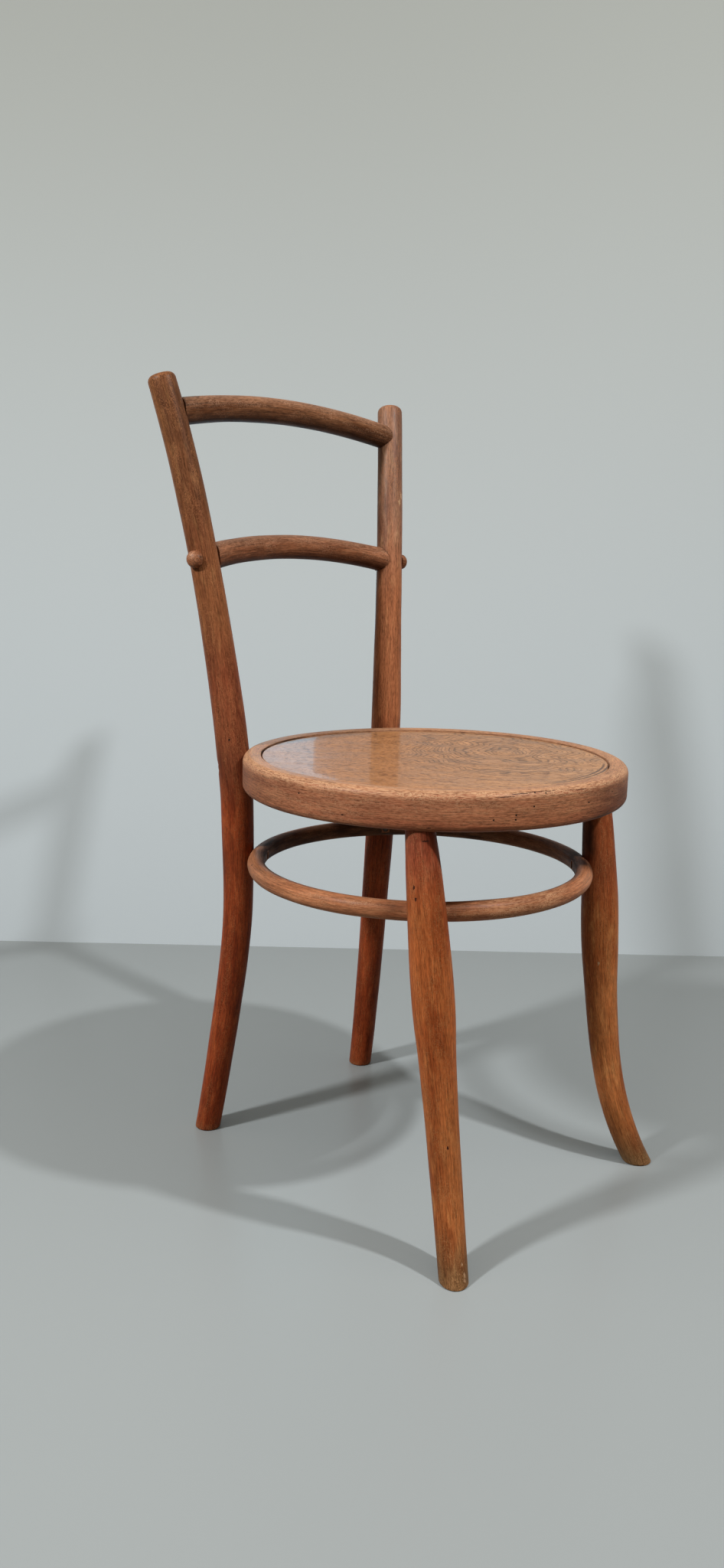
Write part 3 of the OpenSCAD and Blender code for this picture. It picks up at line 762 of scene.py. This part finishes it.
# %% Bend the front legs
front_cuts = [2, 40, 80, 120, 160, 200, 240, 272, 305, 370, 400, 417]
tenon_spare = 6 * MM


def front_leg_dirt_and_shade(line):
    """Dirt and painted shade sit at the joints, and under the seat the side that faces the middle is
    painted dark: painted shade.
    """
    joints = near([line(hoop_centre.z), line(ring_low.z)], 30 * MM)

    def dirt_and_shade(co):
        inward = (seat_centre - line(co.z)).to_2d().normalized()
        facing = (co - line(co.z)).to_2d().dot(inward) / (14 * MM)
        above = limited((co.z - hoop_centre.z) / (20 * MM))
        return max(0.4 * joints(co), 0.85 * above * limited(2.5 * facing - 1.1))

    return dirt_and_shade


for side, shift in (("left", (0.01, 0.03, 4.1)), ("right", (0.04, 0.01, 2.6))):
    name = "front_leg_" + side
    line, girth = stick_line(name, [h * MM for h in front_cuts], UP)
    bm = turned_stick(leg_heights(ring_low.z + tenon_spare), girth)
    note_straight(bm, shift)
    bend(bm, line, ACROSS)
    uneven(bm, size=55 * MM, amount=0.35 * MM, seed=shift[2])
    saw_level(bm, 0, True)
    saw_level(bm, ring_low.z, False)
    ease_rim(bm, 0, foot_round, 3)
    note_marks(bm, front_leg_dirt_and_shade(line), foot_wear)
    finish_piece("bent_" + name, bm, front_leg_finishes[side], "bent_beech", name)

# %% [markdown]
# ## Rings from straight bars
# The seat ring and the hoop are straight bars too, bent until their ends meet
# in a glued joint. A torus would be quicker, but its section is always round and
# it has no straight measure. Here a bar's section is one face, extruded along
# the bar, and bending turns the distance along the bar into an angle.

# %% Bars and rings
def extrude_bar(bm, length, steps):
    """Pulls the bar's one face along Z in even steps."""
    end = bm.faces[:]
    for _ in range(steps):
        rim, end = pulled(bm, end)
        bmesh.ops.translate(bm, vec=(0, 0, length / steps), verts=rim)


def bend_to_ring(bm, radius, centre, start, length):
    """Bends a bar round the Z axis and joins its two ends."""
    slack = 0.1 * MM
    ends = [f for f in bm.faces if all(v.co.z < slack for v in f.verts)
            or all(v.co.z > length - slack for v in f.verts)]
    bmesh.ops.delete(bm, geom=ends, context="FACES_ONLY")
    for v in bm.verts:
        angle = start + v.co.z / length * math.tau
        out = radius + v.co.x
        v.co = Vector((centre.x + out * math.cos(angle), centre.y + out * math.sin(angle),
                       centre.z + v.co.y))
    bmesh.ops.remove_doubles(bm, verts=bm.verts, dist=weld)


def round_corner(bm, x, y, radius, segments):
    """Rounds one corner of a flat outline."""
    corner = min(bm.verts, key=lambda v: (v.co - Vector((x, y, 0))).length)
    bmesh.ops.bevel(
        bm, geom=[corner], offset=radius, offset_type="OFFSET", segments=segments,
        profile=0.5, affect="VERTICES", material=-1,
    )


# %% [markdown]
# ## Seat ring
# The ring's outer side is upright with a full round at the top. The top slopes
# a little to a lip, and a rebate below the lip carries the panel. The section
# could be drawn with all its rounds. It starts as a plain outline instead, and a
# bevel rounds each corner by its own radius, so each stays easy to change.

# %% The ring's measures
ring_width = 37 * MM
ledge_width = 17.5 * MM
ledge_depth = 8.2 * MM
ring_slope = 1.2 * MM
ring_top = ring_high.z
ring_base = ring_low.z
ring_inner = seat_radius - ring_width
lip_radius = ring_inner + ledge_width
seam_angle = math.radians(124)
ring_length = math.tau * seat_radius
ring_shift = (0.03, 0.0, 3.3)
print("lip radius", round(lip_radius / MM, 1), "mm")


def in_straight_ring(x, y, z):
    """Where a point of the bent ring, in millimetres, lay in the straight bar."""
    flat = Vector((x, y, 0)) * MM - seat_centre
    angle = (math.atan2(flat.y, flat.x) - seam_angle) % math.tau
    bar = Vector((flat.length - seat_radius, z * MM, angle / math.tau * ring_length))
    return tuple((bar + Vector(ring_shift)) / MM)


# %% The ring's finish
wormholes = [
    (-201.9, -30.7, 443.8), (-113.5, -192.8, 432.2), (-94.9, -204.0, 435.9), (-95.0, -203.9, 431.7),
    (-78.5, -211.8, 443.1), (-12.0, -227.3, 440.3), (32.0, -225.1, 444.5), (-76.0, -210.1, 455.6),
    (-65.7, -215.1, 454.4),
]
ring_crack = [(-104.3, -197.6, 453.2), (-91, -203.5, 455.2), (-74.7, -209.9, 456.2),
              (-60, -215.5, 455.6), (-40, -221.5, 454.6), (-22.5, -225.3, 453.9)]
low_chips = [(-194.4, -80.6, 430.4), (-156.4, -152.6, 424.3)]
ring_finish = wood(
    "ring_beech", ((0.30, 0.096, 0.046), (0.39, 0.142, 0.068), (0.45, 0.190, 0.090)),
    roughness=0.48, rings=(4 * MM, 0.08), heart=(60 * MM, 45 * MM, 0), drift=(24 * MM, 8, 12 * MM),
    bare=(0.55, 0.325, 0.185), scuffs=0.12, flecks=0.50, streaks=0.20, fibres=0.19, lacquer=0.07,
    # The top of the ring is tinted less red: a painted sheen.
    shades=((ring_top - 5 * MM, ring_top - 1 * MM, (0.84, 1.01, 1.06)),), marks=(
        (HOLE, "here", 0.7, (1, 1, 1), wormholes),
        (CRACK, "stick", 0.32, (1, 1, 0.045), [in_straight_ring(*place) for place in ring_crack]),
        (CRACK, "stick", 0.5, (1, 1, 0.35), [in_straight_ring(*place) for place in low_chips]),
    ),
)

# %% Wear, dirt, painted light and painted shade on the ring
def from_seat_centre(co):
    return Vector((co.x, co.y, 0)) - seat_centre


def ring_wear_and_highlight(co):
    """The top outer edge is rubbed bright and painted paler as a highlight; the inner top and the right
    side are painted lighter.
    """
    out = from_seat_centre(co)
    off_edge = abs(co.z - ring_top + 3.5 * MM) / (7.5 * MM)
    outer_part = 1.0 if out.length > seat_radius - 14 * MM else 0.6
    lighter_side = limited((0.5 - (out.normalized() - Vector((-1, -0.1, 0))).length) * 3)
    return max(max(0.0, 1.1 - off_edge) * outer_part, 0.22 * lighter_side)


def lip_dirt_and_shade(co):
    """Dirt and painted shade fill the gap at the lip, most of all at the back right, where it is
    widest.
    """
    flat = from_seat_centre(co)
    if flat.length > lip_radius + 0.6 * MM:
        return 0.0
    off_gap = abs(math.degrees(math.atan2(flat.y, flat.x)) - 118)
    return max(0.45, min(1.0, 1.9 - off_gap / 18))


def ring_dirt_and_shade(co):
    """Dirt and painted shade sit at the lip, and two stretches of the side below the top are painted
    darker: painted shade.
    """
    out = from_seat_centre(co).normalized()
    below = limited((ring_top - 3 * MM - co.z) / (8 * MM))
    dirt_and_shade = lip_dirt_and_shade(co)
    for angle, amount, narrow in ((-62, 0.64, 0.80), (155, 0.46, 0.88)):
        shaded_side = Vector((math.cos(math.radians(angle)), math.sin(math.radians(angle)), 0))
        dirt_and_shade = max(dirt_and_shade, amount * below * limited((out.dot(shaded_side) - narrow) * 8))
    return dirt_and_shade


# %% Bend the seat ring
# A corner of the section has its place, its radius and the steps that round it.
ring_corners = {
    "top outside": (0, ring_top, 9 * MM, 10),
    "lip": (lip_radius - seat_radius, ring_top - ring_slope, 1.5 * MM, 4),
    "ledge": (lip_radius - seat_radius, ring_top - ledge_depth, 0, 0),
    "ledge edge": (ring_inner - seat_radius, ring_top - ledge_depth, 0.6 * MM, 2),
    "low inside": (ring_inner - seat_radius, ring_base, 3 * MM, 4),
    "low outside": (0, ring_base, 7 * MM, 8),
}
bm = bmesh.new()
bm.faces.new([bm.verts.new((x, y, 0)) for x, y, _, _ in ring_corners.values()])
for x, y, radius, segments in ring_corners.values():
    if radius:
        round_corner(bm, x, y, radius, segments)
extrude_bar(bm, ring_length, 360)
note_straight(bm, ring_shift)
bend_to_ring(bm, seat_radius, seat_centre, seam_angle, ring_length)
uneven(bm, size=70 * MM, amount=0.25 * MM, seed=5)
note_marks(bm, ring_dirt_and_shade, ring_wear_and_highlight)
finish_piece("bent_seat_ring", bm, ring_finish, "ring_beech", "seat_ring")

# %% [markdown]
# ## Hoop
# The hoop ties the four legs. It is a thinner round bar with a flat along its
# inside, which lay against the iron form while it was bent. A disc that is cut
# off straight gives that section, and the rest is made as the ring was.

# %% The hoop's finish
hoop_finish = wood(
    "hoop_beech", ((0.31, 0.105, 0.045), (0.44, 0.172, 0.079), (0.52, 0.232, 0.110)),
    roughness=0.40, rings=(5 * MM, 0.08), heart=(50 * MM, 30 * MM, 0), drift=(20 * MM, 6, 12 * MM),
    bare=(0.60, 0.33, 0.18), scuffs=0.4, streaks=0.20,
    marks=((HOLE, "here", 0.8, (1, 1, 1), [(-155.0, 88.6, 342.0)]),),
)

# %% Wear, dirt and painted shade on the hoop
def near_mm(places, reach):
    """A mark near places in millimetres."""
    return near([Vector(place) * MM for place in places], reach * MM)


by_the_right_leg = near_mm([(-156, -109, 341), (-115, -153, 341)], 18)
shade_by_the_left_leg = near_mm([(136, -138, 345), (115, -143, 348)], 44)
rubbed = near_mm([(-165.2, -87.6, 343), (-171, -75, 343)], 16)
kicked = near_mm([(-60, -178, 343), (-20, -188, 343)], 55)


def hoop_dirt_and_shade(co):
    """The inside and the back are dark with dirt and painted shade, the corner at the right leg with
    dirt, and the corner at the left leg with painted shade.
    """
    inside = hoop_radius - (Vector((co.x, co.y, 0)) - hoop_centre).to_2d().length
    behind = 0.35 * limited((co.y - hoop_centre.y) / (60 * MM))
    inner = behind + 0.55 * limited(inside / (5 * MM) + 0.3)
    return max(0.5 * by_the_right_leg(co), min(1.0, 1.5 * shade_by_the_left_leg(co)), inner)


def hoop_wear(co):
    """Shoes have kicked the front bare, and the right side is rubbed a little."""
    return max(0.3 * rubbed(co), 0.85 * kicked(co))


# %% Bend the hoop
hoop_flat = 1.6 * MM
hoop_length = math.tau * hoop_radius
bm = bmesh.new()
bmesh.ops.create_circle(bm, cap_ends=True, segments=48, radius=hoop_thick / 2)
bmesh.ops.bisect_plane(
    bm, geom=everything(bm), plane_co=(hoop_flat - hoop_thick / 2, 0, 0),
    plane_no=(-1, 0, 0), clear_outer=True,
)
extrude_bar(bm, hoop_length, 300)
note_straight(bm, (0.05, 0.02, 6.2))
bend_to_ring(bm, hoop_radius, hoop_centre, math.radians(125), hoop_length)
uneven(bm, size=50 * MM, amount=0.25 * MM, seed=8)
note_marks(bm, hoop_dirt_and_shade, hoop_wear)
hoop = finish_piece("bent_leg_hoop", bm, hoop_finish, "bent_beech", "leg_hoop")

# %% Bore the hoop for its screws
before_the_wood = 8 * MM
past_screw_top = 0.4 * MM
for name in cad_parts:
    if name.startswith("hoop_screw"):
        low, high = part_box(name)
        way = (low + high) / 2 - hoop_centre
        bore_for_head(hoop, name, hoop_centre, way, min, -before_the_wood, past_screw_top)

# %% [markdown]
# ## Rails
# Two bowed rails join the posts. A rail is a straight stick first. Its ends are
# coped: cut hollow to sit on the round of the post. Only then is it bent. The
# hollow here is a little flatter than the post, which leaves the ends blunt. A
# Boolean could cut it, but pushing the end points back keeps the faces even.

# %% The rails' finish
rail_finish = wood(
    "rail_beech", ((0.160, 0.055, 0.023), (0.240, 0.092, 0.043), (0.325, 0.140, 0.070)),
    rings=(4 * MM, 0.09), heart=(40 * MM, 30 * MM, 0), drift=(20 * MM, 6, 14 * MM),
    bare=(0.52, 0.29, 0.18), streaks=0.26, fibres=0.20,
    shades=((700 * MM, 770 * MM, (0.69, 0.73, 0.68)),),
)

# %% Rail helpers
cope_roundness = 0.78


def rail_steps(reach):
    """Even steps in the middle, and fine ones near the coped ends."""
    middle = [reach * k / 40 for k in range(-36, 37)]
    fine = [reach * (0.9 + 0.1 * k / 36) for k in range(1, 37)]
    return [-x for x in reversed(fine)] + middle + fine


def cope_ends(bm, reach, post_radius):
    """Pushes both ends of the stick back to a hollow a little flatter than the post's round."""
    for v in bm.verts:
        room = reach - math.sqrt(max(0.0, post_radius ** 2 - cope_roundness * v.co.y ** 2))
        v.co.z = max(-room, min(room, v.co.z))
    bmesh.ops.remove_doubles(bm, verts=bm.verts, dist=weld)


def rail_dirt_and_shade(line, girth, ends, seam):
    """Dirt sits in the joints, and the underside is painted dark: painted shade."""
    def dirt_and_shade(co):
        off = min(math.hypot(co.x - p.x, co.y - p.y) for p in ends)
        joint = 0.6 * limited((seam - off) / (0.5 * MM))
        under = (line(co.x).z - co.z) / girth(co.x)
        return max(joint, 0.75 * limited(under * 1.3))

    return dirt_and_shade


def rail_wear_and_highlight(line, girth):
    """Hands rub the top of a rail, where the chair is picked up, and the top is painted paler too: a
    painted highlight.
    """
    return lambda co: 0.5 * limited((co.z - line(co.x).z) / girth(co.x) * 1.5 - 0.3)


# %% Bend the rails
# The ends of the top rail lie higher than its lowest point by this much.
top_rail_end_rise = 14 * MM
top_rail_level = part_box("top_rail")[0].z + top_rail_end_rise
post_line, post_girth = back_lines["left"]
rail_lines = {}
for name, level, shift in (("top_rail", top_rail_level, (0.04, 0.02, 5.5)),
                           ("middle_rail", mid_rail_level, (0.0, 0.06, 8.1))):
    reach = abs(post_line(level).x)
    line, girth = stick_line(name, [reach * k / 6 for k in range(-5, 6)], ACROSS)
    rail_lines[name] = (line, reach)
    bm = turned_stick(rail_steps(reach), girth)
    cope_ends(bm, reach, post_girth(level))
    note_straight(bm, shift)
    bend(bm, line, UP)
    uneven(bm, size=45 * MM, amount=0.25 * MM, seed=shift[2])
    ends = [line(reach), line(-reach)]
    seam = post_girth(level) + 0.9 * MM
    note_marks(bm, rail_dirt_and_shade(line, girth, ends, seam), rail_wear_and_highlight(line, girth))
    finish_piece("bent_" + name, bm, rail_finish, "bent_beech", name)

# %% [markdown]
# ## Cover buttons
# A turned button hides each screw of the middle rail. It is a low dome on a
# short straight side. Half a ball has no such side, so the button is turned as
# the sticks are: a disc rises and is scaled step by step.

# %% The button's profile
button_radius = (button_high.z - button_low.z) / 2
button_rise = 9.5 * MM
button_side = 2.2 * MM
dome_power = 2.2
print("button", round(2 * button_radius / MM, 1), "mm across")


def button_profile(height):
    """Radius of the button at a height above its seat on the post."""
    if height < button_side:
        return button_radius
    part = min(1.0, (height - button_side) / (button_rise - button_side))
    return max(0.05 * MM, button_radius * math.sqrt(max(0.0, 1 - part ** dome_power)))


# %% Turn the buttons
line, reach = rail_lines["middle_rail"]
for side, name in ((1, "left"), (-1, "right")):
    low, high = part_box("rail_button_" + name)
    crown = max(high.x, -low.x)
    outward = line(side * reach) - line(side * (reach - 1 * MM))
    outward.z = 0
    outward.normalize()
    tip_reach = (crown - side * line(side * reach).x) / (side * outward.x)
    base = line(side * reach) + outward * (tip_reach - button_rise)
    rises = [button_rise * (1 - (1 - k / 20) ** 2) for k in range(21)]
    bm = turned_stick(rises, button_profile, sides=40)
    note_straight(bm, (0.03, 0.04, 9.0 + side))
    turn = outward.to_track_quat("Z", "Y").to_matrix().to_4x4()
    bmesh.ops.transform(bm, matrix=Matrix.Translation(base) @ turn, verts=bm.verts)
    top = base + outward * button_rise
    note_marks(bm, wear_and_highlight_at=near([top + Vector((0, 0, 5 * MM))], 7 * MM))
    finish_piece("turned_button_" + name, bm, rail_finish, "bent_beech", "rail_button_" + name)

# %% [markdown]
# ## Seat panel
# The panel is thin plywood, pressed so that its middle lies a little lower than
# its rim. Its face veneer was sliced close to the heart of the log, so its
# figure is made of loops: the same distances from a heart as in the sticks, but
# seen on a flat sheet. A flat disc pushed down in its middle would do for the
# shape. Half a section, spun round the axis, also gives it an edge and a back.

# %% Layers of the veneer
def veneer_loops(tree, sheet, loops_at, loop_shape, band_gap, line_gap):
    """How dark the nested loops are: wide soft bands with fine lines in them."""
    cloud = grain_noise(tree, sheet, 34 * MM, 1.4, 0.5, seed=4)
    wobble = grain_noise(tree, sheet, 9 * MM, 2.0, 3, seed=9)
    reach = distance(tree, sheet, loops_at, loop_shape)
    wander = plus(tree, times(tree, cloud, 48 * MM), times(tree, wobble, 4 * MM))
    field = plus(tree, reach, wander)
    bands = stripes(tree, field, band_gap, (0.2, 0.55), (0.9, 1.0))
    lines = stripes(tree, field, line_gap, (0.50, 0.72), (0.86, 0.96))
    figure = plus(tree, times(tree, bands, 0.20), times(tree, lines, 0.44))
    return times(tree, figure, between(tree, reach, 85 * MM, 135 * MM, 1.0, 0.35))


def gap_shade_lines(tree, here):
    """1 in two thin dark lines that run round the panel near its front edge: painted shade of the gap
    at the lip.
    """
    middle = seat_centre + Vector((10.5, 7.4, 0)) * MM
    way = (math.cos(math.radians(-80)), math.sin(math.radians(-80)), 0)
    away = distance(tree, here, middle, (1, 1, 0))
    ahead = vectors(tree, "DOT_PRODUCT", vectors(tree, "SUBTRACT", here, middle), way)
    pair = maths(tree, "ABSOLUTE", less(tree, away, 180 * MM))
    pair = maths(tree, "ABSOLUTE", less(tree, pair, 2.4 * MM))
    return times(tree, between(tree, pair, 0.7 * MM, 1.6 * MM, 1, 0),
                 between(tree, maths(tree, "DIVIDE", ahead, away), 0.90, 0.95))


# %% The veneer's finish
panel_nicks = [(88.1, -153.6, 453.8), (44.3, -185.9, 454.0)]


def veneer(name, base, sheen_tints, **loops):
    """A face veneer with nested loops, short dashes along the grain and clear lacquer."""
    finish, tree, shader = new_finish(name)
    sheet = noted(tree, "stick", "Vector")
    here = place_on(tree)
    patch = grain_noise(tree, sheet, 26 * MM, 2.5, 3, seed=6)
    fibre = grain_noise(tree, sheet, 1.5 * MM, 12, 4, seed=5)
    fleck = grain_noise(tree, sheet, 1.6 * MM, 4.5, 3, seed=12)

    tone = plus(tree, between(tree, patch, 0.3, 0.7, 1.04, 1.26),
                between(tree, fibre, 0.34, 0.66, -0.16, 0.16))
    colour = lighten(tree, base, less(tree, tone, veneer_loops(tree, sheet, **loops)))
    # Towards the camera's right the veneer is paler and bluer: a painted sheen.
    painted_sheen = between(tree, height_of(tree, sheet), -150 * MM, 170 * MM)
    colour = tint(tree, 1.0, colour, tint(tree, painted_sheen, *sheen_tints), "MULTIPLY")
    dashes = times(tree, between(tree, fleck, 0.56, 0.61), 0.80)
    colour = tint(tree, dashes, colour, (0.085, 0.028, 0.012))
    # The two dark lines near the front edge are painted shade of the gap at the lip, pressed in a
    # little too.
    split = gap_shade_lines(tree, here)
    colour = tint(tree, times(tree, split, 0.8), colour, (0.05, 0.018, 0.010))
    nicks = spots(tree, here, panel_nicks, 0.9, (1, 1, 1), 0, None)
    colour = tint(tree, nicks, colour, (0.80, 0.72, 0.60))

    relief = less(tree, times(tree, fibre, 0.4), plus(tree, dashes, split))
    bump = add(tree, "Bump", {"Height": relief, "Strength": 0.5, "Distance": 0.10 * MM}).outputs[0]
    fill(tree, shader, {
        "Base Color": colour, "Roughness": between(tree, patch, 0.3, 0.7, 0.42, 0.55),
        "Normal": bump, "Coat Normal": bump,
        "Specular IOR Level": 0.10, "Coat Weight": 0.22, "Coat Roughness": 0.09,
    })
    print(name, "has", len(tree.nodes), "nodes")
    return finish


# The second pair of colours is the painted sheen, from left to right as the camera sees the seat.
panel_finish = veneer(
    "seat_veneer", (0.340, 0.150, 0.061), ((0.89, 0.88, 0.83), (1.11, 1.26, 1.38)),
    loops_at=(50 * MM, 0, 80 * MM), loop_shape=(0.72, 0, 1), band_gap=26 * MM, line_gap=5.5 * MM,
)

# %% The panel's measures
panel_gap = 0.8 * MM
panel_radius = lip_radius - panel_gap
panel_thick = 5.5 * MM
panel_top = ring_top - ledge_depth + panel_thick
panel_edge = 0.5 * MM
panel_dish = 2 * MM
veneer_turn = Matrix.Rotation(math.radians(46.7), 4, "Z")
print("panel", round(2 * panel_radius / MM, 1), "mm across")


def dish(radius):
    """How far the panel's face lies under its rim."""
    part = min(1.0, radius / (ring_inner - 1 * MM))
    return panel_dish * (1 - part ** 2)


# %% Spin the panel
rounds = [panel_radius * k / 44 for k in range(44)] + [panel_radius - panel_edge]
face = [(r, panel_top - dish(r)) for r in rounds] + [(panel_radius, panel_top - panel_edge)]
back = [(r, z - panel_thick) for r, z in face[:-1]] + [(panel_radius, panel_top - panel_thick)]
bm = bmesh.new()
profile = [bm.verts.new((r, 0, z)) for r, z in face + back[::-1]]
edges = [bm.edges.new(pair) for pair in zip(profile, profile[1:])]
bmesh.ops.spin(
    bm, geom=profile + edges, cent=(0, 0, 0), axis=(0, 0, 1), angle=math.tau,
    steps=128, use_merge=True,
)
bmesh.ops.remove_doubles(bm, verts=bm.verts, dist=weld)
layer = bm.loops.layers.float_vector.new("stick")
for f in bm.faces:
    for corner in f.loops:
        place = veneer_turn @ corner.vert.co
        corner[layer] = Vector((place.y, place.z - panel_top, place.x))
bmesh.ops.translate(bm, vec=seat_centre, verts=bm.verts)
note_marks(bm)
finish_piece("pressed_seat_panel", bm, panel_finish, "seat_plywood", "seat_panel")

# %% [markdown]
# ## Iron
# Bolts, washers, nuts and screws are old iron, dark brown with rust in the
# corners. They could be turned anew, but their CAD solids already have the right
# shape, so they only get a finish.

# %% The iron finish
def iron(name):
    """Dark old iron: bare between the patches of rust, dull and brown on them."""
    finish, tree, shader = new_finish(name)
    here = place_on(tree)
    rust = grain_noise(tree, here, 2.5 * MM, 1, 4)
    pits = grain_noise(tree, here, 0.5 * MM, 1, 3, seed=4)
    colour = tint(tree, between(tree, rust, 0.45, 0.65), (0.10, 0.085, 0.072), (0.16, 0.06, 0.025))
    pitted = add(tree, "Bump", {"Height": pits, "Strength": 0.4, "Distance": 0.2 * MM})
    fill(tree, shader, {
        "Base Color": tint(tree, between(tree, pits, 0.5, 0.7), colour, (0.05, 0.03, 0.02)),
        "Metallic": between(tree, rust, 0.45, 0.65, 0.7, 0.1),
        "Roughness": between(tree, rust, 0.4, 0.7, 0.55, 0.85),
        "Normal": pitted.outputs[0],
    })
    return finish


iron_finish = iron("dark_iron")
for name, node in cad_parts.items():
    if name.split("_")[1] in ("bolt", "washer", "nut", "screw"):
        node.data.materials.clear()
        node.data.materials.append(iron_finish)
        print(name, "is iron")

# %% [markdown]
# ## Floor and wall
# The chair stands on a plain pale floor before a plain wall. A backdrop that
# curves up would hide where the floor ends, so there are two flat sheets. They
# show only their fronts, so that the chair can be looked at from behind and from
# below too. The camera sees their full colour, and the light that they throw
# back on the chair is duller, which keeps the undersides dark.

# %% Stage finishes
def looked_at(tree, colour, bounced):
    """A stage colour for the camera and for gloss, and a duller one for light that bounces off it."""
    path = add(tree, "LightPath").outputs
    seen = maths(tree, "MAXIMUM", path["Is Camera Ray"], path["Is Glossy Ray"])
    return tint(tree, seen, tint(tree, 1.0, colour, bounced, "MULTIPLY"), colour)


def front_only(tree, shader):
    """Shows only the front of a sheet, and nothing of its back."""
    clear = add(tree, "BsdfTransparent")
    behind = add(tree, "NewGeometry").outputs["Backfacing"]
    both = add(tree, "MixShader", {0: behind, 1: shader.outputs[0], 2: clear.outputs[0]})
    out = next(n for n in tree.nodes if n.type == "OUTPUT_MATERIAL")
    fill(tree, out, {"Surface": both.outputs[0]})


def stage_finish(name, colour_on, bounced, rough, shine):
    """A plain finish for a sheet of the stage."""
    finish, tree, shader = new_finish(name)
    fill(tree, shader, {
        "Base Color": looked_at(tree, colour_on(tree), bounced),
        "Roughness": rough, "Specular IOR Level": shine,
    })
    front_only(tree, shader)
    return finish


def wall_paint(tree):
    """Paler and bluer near the floor, and darker above."""
    up_the_wall = between(tree, height_of(tree, place_on(tree)), -0.2, 1.6)
    return tint(tree, up_the_wall, (0.665, 0.742, 0.792), (0.354, 0.371, 0.350))


floor_finish = stage_finish(
    "pale_floor", lambda tree: (0.322, 0.350, 0.356), (0.55, 0.50, 0.43), rough=0.32, shine=0.22
)
wall_finish = stage_finish("pale_wall", wall_paint, (0.5, 0.5, 0.5), rough=0.9, shine=0.0)

# %% Lay the floor and raise the wall
def stage_sheet(name, corners, material):
    """A flat sheet of the stage, from its corners."""
    bm = bmesh.new()
    bm.faces.new([bm.verts.new(c) for c in corners])
    sheet = in_scene(name, as_mesh(name, bm))
    sheet.data.materials.append(material)
    print(name, "has", len(corners), "corners")
    return sheet


far = 6.0
wall_height = 4
wall_distance = 1.96
heading = Vector((math.sin(view_azimuth), math.cos(view_azimuth), 0))
wall_foot = Vector((camera_at.x, camera_at.y, 0)) + heading * wall_distance


def on_wall(right, up, before=0.0):
    """A point of the wall, or before it, to the right of the camera's heading."""
    return wall_foot - heading * before + level_right * right + Vector((0, 0, up))


stage_sheet("floor", [(-far, -far, 0), (far, -far, 0), (far, far, 0), (-far, far, 0)], floor_finish)
stage_sheet(
    "wall", [on_wall(-far, 0), on_wall(far, 0), on_wall(far, wall_height), on_wall(-far, wall_height)],
    wall_finish,
)

# %% [markdown]
# ## A reflector card
# A small pale card hangs before the wall. A lamp there would light the whole
# chair. Only the lacquer sees the card, as a pale patch on the left of the seat,
# where a plain wall would leave the gloss dull.

# %% Hang the card
card_finish, card_tree, card_shader = new_finish("card")
fill(card_tree, card_shader, {
    "Base Color": (0, 0, 0, 1), "Roughness": 1.0,
    "Emission Color": (0.42, 0.78, 1.0, 1), "Emission Strength": 3.1,
})
card_before_wall = 10 * MM
card_outline = [(-0.20, 0.535), (-0.0764, 0.535), (-0.0764, 0.588), (-0.0438, 0.612),
                (-0.035, 0.64), (-0.20, 0.64)]
card = stage_sheet("card", [on_wall(*corner, card_before_wall) for corner in card_outline], card_finish)
card.visible_camera = False
card.visible_diffuse = False
card.visible_shadow = False
card.visible_transmission = False

# %% [markdown]
# ## Lamps and sky
# Two round lamps stand in front, and each throws its own shadow of the chair. A
# small lamp draws its shadow sharper than a large one. One sun would leave the
# other side black, so a dim warm sky, brightest overhead, fills the shadows.

# %% Hang the lamps
lamps_aim_at = Vector((0, 0, 0.4))


def lamp(name, at, size, power):
    """A round lamp that is turned towards the chair."""
    data = bpy.data.lights.new(name, "AREA")
    data.shape = "DISK"
    data.size = size
    data.energy = power
    light = in_scene(name, data)
    light.location = at
    light.rotation_mode = "QUATERNION"
    light.rotation_quaternion = (lamps_aim_at - Vector(at)).to_track_quat("-Z", "Y")
    light.visible_camera = False
    print(name, power, "W,", size, "m across")


lamp("lamp_right", (0.229, -1.130, 1.883), 0.09, 24)
lamp("lamp_left", (-1.51, 0.31, 1.71), 0.18, 30)

# %% Colour the sky
world = bpy.data.worlds.new("world")
bpy.context.scene.world = world
world.use_nodes = True
sky = world.node_tree
sky.nodes.clear()
way_up = height_of(sky, add(sky, "TexCoord").outputs["Generated"])
ceiling = between(sky, way_up, 0.15, 0.75, 0.08, 0.66)
fill_light = add(sky, "Background", {"Color": (0.88, 0.80, 0.68, 1), "Strength": ceiling})
backdrop = add(sky, "Background", {"Color": (0.48, 0.51, 0.50, 1), "Strength": 1.0})
to_camera = add(sky, "LightPath").outputs["Is Camera Ray"]
both = add(sky, "MixShader", {0: to_camera, 1: fill_light.outputs[0], 2: backdrop.outputs[0]})
add(sky, "OutputWorld", {"Surface": both.outputs[0]})
print("sky has", len(sky.nodes), "nodes")
